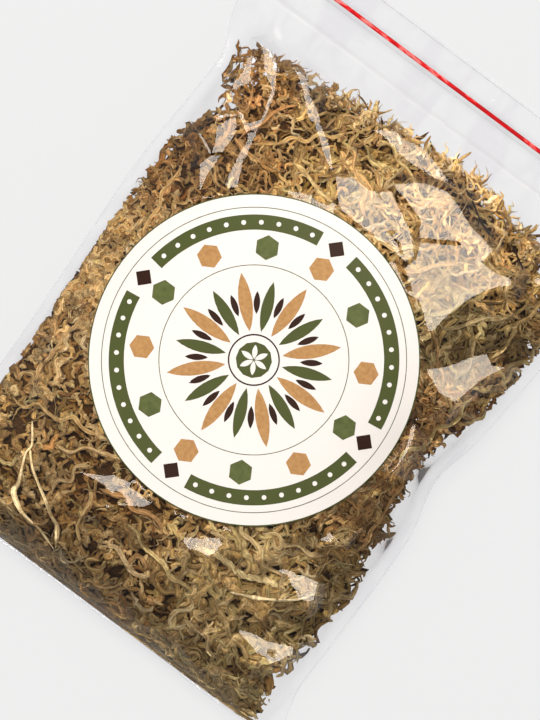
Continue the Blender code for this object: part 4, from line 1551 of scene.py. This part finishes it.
def disc(name, r0, r1, lift, mat, rings=24, spokes=180, cx=LABEL_X, cy=LABEL_Y):
    rr = np.linspace(r0, r1, rings + 1)
    aa = np.linspace(0, 2 * math.pi, spokes, endpoint=False)
    R_, A_ = np.meshgrid(rr, aa, indexing="ij")
    x, y = cx + R_ * np.cos(A_), cy + R_ * np.sin(A_)
    z = label_height(x, y) + lift
    V = np.stack([x, y, z], 2).reshape(-1, 3)
    j, i = np.meshgrid(np.arange(rings), np.arange(spokes), indexing="ij")
    a = (j * spokes + i).ravel()
    b = (j * spokes + (i + 1) % spokes).ravel()
    F = np.stack([a, a + spokes, b + spokes, b], 1)
    return mesh_object(name, V, F, [mat])


def shapes(name, polys, lift, mat, step=3.0):
    """Flat outlines (mm from the label's centre) laid on the label's dome."""
    V, F, n = [], [], 0
    for poly in polys:
        pts, k = [], len(poly)
        for (x0, y0), (x1, y1) in zip(poly, poly[1:] + poly[:1]):
            m = max(1, int(math.hypot(x1 - x0, y1 - y0) / step))
            pts += [(x0 + (x1 - x0) * i / m, y0 + (y1 - y0) * i / m) for i in range(m)]
        k = len(pts)
        edges = [(i, (i + 1) % k) for i in range(k)]
        xs_, ys_ = [p[0] for p in pts], [p[1] for p in pts]
        y = min(ys_) + step / 2
        while y < max(ys_):
            x = min(xs_) + step / 2
            while x < max(xs_):
                if inside(poly, x, y) and seg_dist(poly, x, y) > step * 0.4:
                    pts.append((x, y))
                x += step
            y += step
        res = delaunay_2d_cdt([Vector(p) for p in pts], edges, [], 1, 1e-4)
        v = np.array([tuple(p) for p in res[0]]) + (LABEL_X, LABEL_Y)
        f = np.array([tuple(t) for t in res[2]])
        a2 = np.cross(v[f[:, 1]] - v[f[:, 0]], v[f[:, 2]] - v[f[:, 0]])
        f = np.where((a2 < 0)[:, None], f[:, ::-1], f)
        V.append(np.column_stack([v, label_height(v[:, 0], v[:, 1]) + lift]))
        F.append(f + n)
        n += len(v)
    return mesh_object(name, np.concatenate(V), np.concatenate(F), [mat])


def paper_material():
    n = Nodes("label_paper")
    tex = n.new("TexCoord")
    noise = n.new("TexNoise", inputs={"Vector": tex.outputs["Object"], "Scale": 400.0, "Detail": 4.0})
    fibre = n.new("TexNoise", inputs={"Vector": tex.outputs["Object"], "Scale": 1600.0, "Detail": 2.0})
    col = n.mix(n.math("MULTIPLY", noise.outputs[0], 0.5), srgb(229, 222, 216), srgb(226, 218, 210))
    bump = n.new("Bump", inputs={"Strength": 0.15, "Distance": 0.00005, "Height": fibre.outputs[0]})
    bsdf = n.new("BsdfPrincipled", inputs={"Base Color": col, "Roughness": 0.5,
                                           "Specular IOR Level": 0.2, "Normal": bump.outputs[0]})
    return n.finish(bsdf.outputs[0])


def ink(name, rgb, rough=0.5, second=None, scale=150.0):
    n = Nodes(name)
    tex = n.new("TexCoord")
    noise = n.new("TexNoise", inputs={"Vector": tex.outputs["Object"], "Scale": scale, "Detail": 3.0})
    a = srgb(*rgb)
    b = srgb(*second) if second else [c * 0.86 for c in a]
    col = n.mix(noise.outputs[0], a, b)
    bsdf = n.new("BsdfPrincipled", inputs={"Base Color": col, "Roughness": rough, "Specular IOR Level": 0.2})
    return n.finish(bsdf.outputs[0])


def polar(r, a):
    return (r * math.cos(a), r * math.sin(a))


def petal(a, r0, r1, wide):
    pts = []
    for k in range(9):
        t = k / 8
        pts.append((r0 + (r1 - r0) * t, wide * math.sin(math.pi * t) ** 0.8))
    full = pts + [(x, -y) for x, y in reversed(pts[1:-1])]
    return [(x * math.cos(a) - y * math.sin(a), x * math.sin(a) + y * math.cos(a)) for x, y in full]


def ngon(cx, cy, r, n=6, turn=0.0):
    return [(cx + r * math.cos(turn + 2 * math.pi * k / n), cy + r * math.sin(turn + 2 * math.pi * k / n))
            for k in range(n)]


def arc_band(r0, r1, a0, a1, steps=24):
    outer = [polar(r1, a0 + (a1 - a0) * k / steps) for k in range(steps + 1)]
    inner = [polar(r0, a1 + (a0 - a1) * k / steps) for k in range(steps + 1)]
    return outer + inner


PAPER = paper_material()
OLIVE = ink("ink_olive", (78, 84, 44))
DEEP = ink("ink_brown", (52, 30, 22))
TAN = ink("ink_tan", (196, 152, 98), second=(150, 102, 58), scale=500.0)
LEAF = ink("ink_green", (104, 110, 62), second=(66, 74, 40), scale=300.0)
art = [disc("label_paper", 0.0001, LABEL_R, 0.0, PAPER)]
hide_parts("label")
art.append(disc("label_edge_line", LABEL_R - 0.6, LABEL_R, 0.05, OLIVE, rings=1))
art.append(disc("label_line_outer", 79.6, 80.0, 0.05, OLIVE, rings=1))
art.append(disc("label_line_mid", 49.4, 49.8, 0.05, OLIVE, rings=1))
art.append(disc("label_line_inner", 12.8, 13.6, 0.07, DEEP, rings=1, spokes=90))
art.append(shapes("label_bands", [arc_band(68, 76, math.pi / 2 * k + 0.14, math.pi / 2 * (k + 1) - 0.14, 40)
                                  for k in range(4)], 0.05, OLIVE))
art.append(shapes("label_band_dots", [ngon(*polar(72, math.pi / 2 * k + 0.14 + 0.128 * (j + 0.5)), 1.3, 10)
                                      for k in range(4) for j in range(10)], 0.09, PAPER))
art.append(shapes("label_knots", [ngon(*polar(72, math.pi / 2 * k), 5.2, 4, math.pi / 2 * k)
                                  for k in range(4)], 0.05, DEEP))
art.append(shapes("label_hexagons_a", [ngon(*polar(59, math.pi / 6 * k), 6.6, 6, math.pi / 6 * k)
                                       for k in range(0, 12, 2)], 0.05, LEAF))
art.append(shapes("label_hexagons_b", [ngon(*polar(59, math.pi / 6 * k), 6.6, 6, math.pi / 6 * k)
                                       for k in range(1, 12, 2)], 0.05, TAN))
art.append(shapes("label_petals_long", [petal(math.pi / 8 * k, 15, 46, 3.6) for k in range(0, 16, 2)],
                  0.05, TAN))
art.append(shapes("label_petals_mid", [petal(math.pi / 8 * k, 15, 42, 3.0) for k in range(1, 16, 2)],
                  0.05, OLIVE))
art.append(shapes("label_petals_short", [petal(math.pi / 8 * (k + 0.5), 24, 36, 1.7) for k in range(16)],
                  0.07, DEEP))
art.append(shapes("label_centre", [ngon(0, 0, 9.5, 12)], 0.05, OLIVE))
art.append(shapes("label_centre_star", [petal(math.pi / 3 * k, 0.5, 8.0, 1.4) for k in range(6)], 0.09, PAPER))
for o in art:
    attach(o, "root")

# =====================================================================
# Press-seal: a red bead on each wall, on a clear tape
# =====================================================================


def seal_red():
    n = Nodes("seal_red")
    tex = n.new("TexCoord")
    stretch = n.new("Mapping", inputs={"Vector": tex.outputs["Object"], "Scale": (170.0, 500.0, 500.0)})
    noise = n.new("TexNoise", inputs={"Vector": stretch.outputs[0], "Scale": 1.0, "Detail": 2.0})
    long_ = n.new("Mapping", inputs={"Vector": tex.outputs["Object"], "Scale": (16.0, 1.0, 1.0)})
    noise2 = n.new("TexNoise", inputs={"Vector": long_.outputs[0], "Scale": 1.0, "Detail": 3.0})
    both = n.math("ADD", n.math("MULTIPLY", noise.outputs[0], 0.75), n.math("MULTIPLY", noise2.outputs[0], 0.35))
    col = n.ramp(both, [(0.48, srgb(176, 0, 10)), (0.53, srgb(208, 2, 10)), (0.575, srgb(214, 10, 16)), (0.64, srgb(238, 120, 114))])
    bsdf = n.new("BsdfPrincipled", inputs={"Base Color": col, "Roughness": 0.5,
                                           "Specular IOR Level": 0.08})
    return n.finish(bsdf.outputs[0])


def extrusion(name, profiles, mats, index, node, ends, steps=60):
    """Profiles (Y, Z from the bead's centre), each swept along the seal."""
    V, F, I, n = [], [], [], 0
    xs_ = np.linspace(-ends, ends, steps + 1)
    for prof, mi in zip(profiles, index):
        k = len(prof)
        ring = np.array(prof)
        verts = np.zeros((steps + 1, k, 3))
        verts[..., 0] = xs_[:, None]
        verts[..., 1] = SEAL_Y + ring[None, :, 0]
        verts[..., 2] = SEAL_Z + ring[None, :, 1]
        idx = np.arange((steps + 1) * k).reshape(steps + 1, k)
        nxt = np.roll(idx, -1, 1)
        q4 = np.stack([idx[:-1], nxt[:-1], nxt[1:], idx[1:]], -1).reshape(-1, 4)
        V.append(verts.reshape(-1, 3))
        F.append(q4 + n)
        caps = np.array([[idx[0, 0], idx[0, i + 1], idx[0, i]] for i in range(1, k - 1)]
                        + [[idx[-1, 0], idx[-1, i], idx[-1, i + 1]] for i in range(1, k - 1)])
        F.append(np.column_stack([caps, caps[:, 2]]) + n)
        I += [mi] * (len(q4) + len(caps))
        n += len(verts.reshape(-1, 3))
    blocks, idxs, pos = [], [], 0
    quads, qi, tris, ti = [], [], [], []
    for block in F:
        tri = block[:, 2] == block[:, 3]
        ii = I[pos:pos + len(block)]
        pos += len(block)
        if tri.all():
            tris.append(block[:, :3]), ti.extend(ii)
        else:
            quads.append(block), qi.extend(ii)
    obj = mesh_object(name, np.concatenate(V), [np.concatenate(quads), np.concatenate(tris)],
                      mats, smooth=False, index=qi + ti)
    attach(obj, "root")
    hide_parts(node)
    return obj


def strip(y0, y1, z0, z1):
    return [(y0, z0), (y1, z0), (y1, z1), (y0, z1)]


def bead(r, z, up):
    pts = [(r * math.cos(a), z + up * r * 0.55 * math.sin(a)) for a in np.linspace(0, math.pi, 9)]
    return pts if up < 0 else pts


RED = seal_red()
TAPE = film_material("seal_tape", 0.0, 0.001, 0.4, cloudy=False)
end = float(right_edge(np.array(SEAL_Y))) - WELD - 3.0
front_profiles = [bead(1.12, 1.35, 1), strip(-19.0, -1.3, 1.2, 1.3), strip(1.3, 4.0, 1.2, 1.3)]
front_profiles += [strip(y - 0.12, y + 0.12, 1.3, 1.45) for y in (-18.9, -17.6, -3.2, 2.6, 3.9)]
extrusion("seal_front", front_profiles, [RED, TAPE], [0] + [1] * 7, "zip_track_front", end)
back_profiles = [bead(0.95, -0.9, 1), strip(-3.4, 3.4, -1.4, -1.3)]
back_profiles += [strip(y - 0.12, y + 0.12, -1.3, -1.15) for y in (-3.2, 3.2)]
extrusion("seal_back", back_profiles, [RED, TAPE], [0] + [1] * 3, "zip_track_back", end)

# =====================================================================
# Floor and light
# =====================================================================


def floor_material():
    n = Nodes("floor_plain")
    tex = n.new("TexCoord")
    noise = n.new("TexNoise", inputs={"Vector": tex.outputs["Object"], "Scale": 3.0})
    col = n.mix(noise.outputs[0], (0.080, 0.080, 0.080), (0.084, 0.084, 0.084))
    diff = n.new("BsdfDiffuse", inputs={"Color": col})
    ray = n.new("LightPath")
    strength = n.math("MULTIPLY_ADD", ray.outputs["Is Glossy Ray"], -0.50, 0.755)
    glow = n.new("Emission", inputs={"Color": (1, 1, 1, 1), "Strength": strength})
    out = n.new("AddShader", inputs={0: diff.outputs[0], 1: glow.outputs[0]})
    return n.finish(out.outputs[0])


floor = mesh_object("floor", np.array([[-8000, -8000, -0.3], [8000, -8000, -0.3], [8000, 8000, -0.3], [-8000, 8000, -0.3]]),
                    np.array([[0, 1, 2, 3]]), [floor_material()], smooth=False)


def area(name, direction, distance, size, power, colour=(1, 1, 1), glossy=True, diffuse=True):
    data = bpy.data.lights.new(name, "AREA")
    data.shape = "RECTANGLE"
    data.size, data.size_y = size
    data.energy = power
    data.color = colour
    o = bpy.data.objects.new(name, data)
    bpy.context.scene.collection.objects.link(o)
    d = Vector(direction).normalized()
    o.location = d * distance + Vector((0, 0, 0.04))
    o.rotation_euler = (-d).to_track_quat("-Z", "Y").to_euler()
    o.visible_camera = False
    o.visible_glossy = glossy
    o.visible_diffuse = diffuse
    return o


def radiance_power(L, size):
    """Watts of an area light whose face shows as radiance L."""
    return L * math.pi * size[0] * size[1]


a2 = 2 * TILT
key_size = (0.62, 0.5)
area("key_softbox", (0, math.sin(a2), math.cos(a2)), 1.3, key_size, radiance_power(10.2, key_size),
     (1.0, 0.93, 0.84), diffuse=False)
low_size = (0.5, 0.16)
area("low_softbox", (0, -math.sin(2 * BACK_TILT), math.cos(2 * BACK_TILT)), 1.3, low_size,
     radiance_power(11.0, low_size), (1.0, 0.93, 0.84), diffuse=False)
main_size = (0.55, 0.55)
area("main_lamp", (-0.26, 0.22, 1.0), 1.7, main_size, radiance_power(28.5, main_size), (1.0, 0.985, 0.955),
     glossy=False)

world = bpy.data.worlds.new("studio")
bpy.context.scene.world = world
world.use_nodes = True
wt = world.node_tree
wt.nodes.clear()
wo = wt.nodes.new("ShaderNodeOutputWorld")
path = wt.nodes.new("ShaderNodeLightPath")
soft = wt.nodes.new("ShaderNodeBackground")
soft.inputs[0].default_value = (1, 1, 1, 1)
soft.inputs[1].default_value = 0.54
dim = wt.nodes.new("ShaderNodeBackground")
dim.inputs[0].default_value = (1, 1, 1, 1)
tc = wt.nodes.new("ShaderNodeTexCoord")
sep = wt.nodes.new("ShaderNodeSeparateXYZ")
wt.links.new(tc.outputs["Generated"], sep.inputs[0])
mr = wt.nodes.new("ShaderNodeMapRange")
mr.inputs["From Min"].default_value = -0.25
mr.inputs["From Max"].default_value = -0.9
mr.inputs["To Min"].default_value = 0.05
mr.inputs["To Max"].default_value = 0.24
wt.links.new(sep.outputs[0], mr.inputs["Value"])
wt.links.new(mr.outputs[0], dim.inputs[1])
mixw = wt.nodes.new("ShaderNodeMixShader")
wt.links.new(path.outputs["Is Glossy Ray"], mixw.inputs[0])
wt.links.new(soft.outputs[0], mixw.inputs[1])
wt.links.new(dim.outputs[0], mixw.inputs[2])
wt.links.new(mixw.outputs[0], wo.inputs[0])


vs = bpy.context.scene.view_settings
vs.view_transform = "Standard"
vs.look = "None"
vs.exposure = 0.0
vs.gamma = 1.0
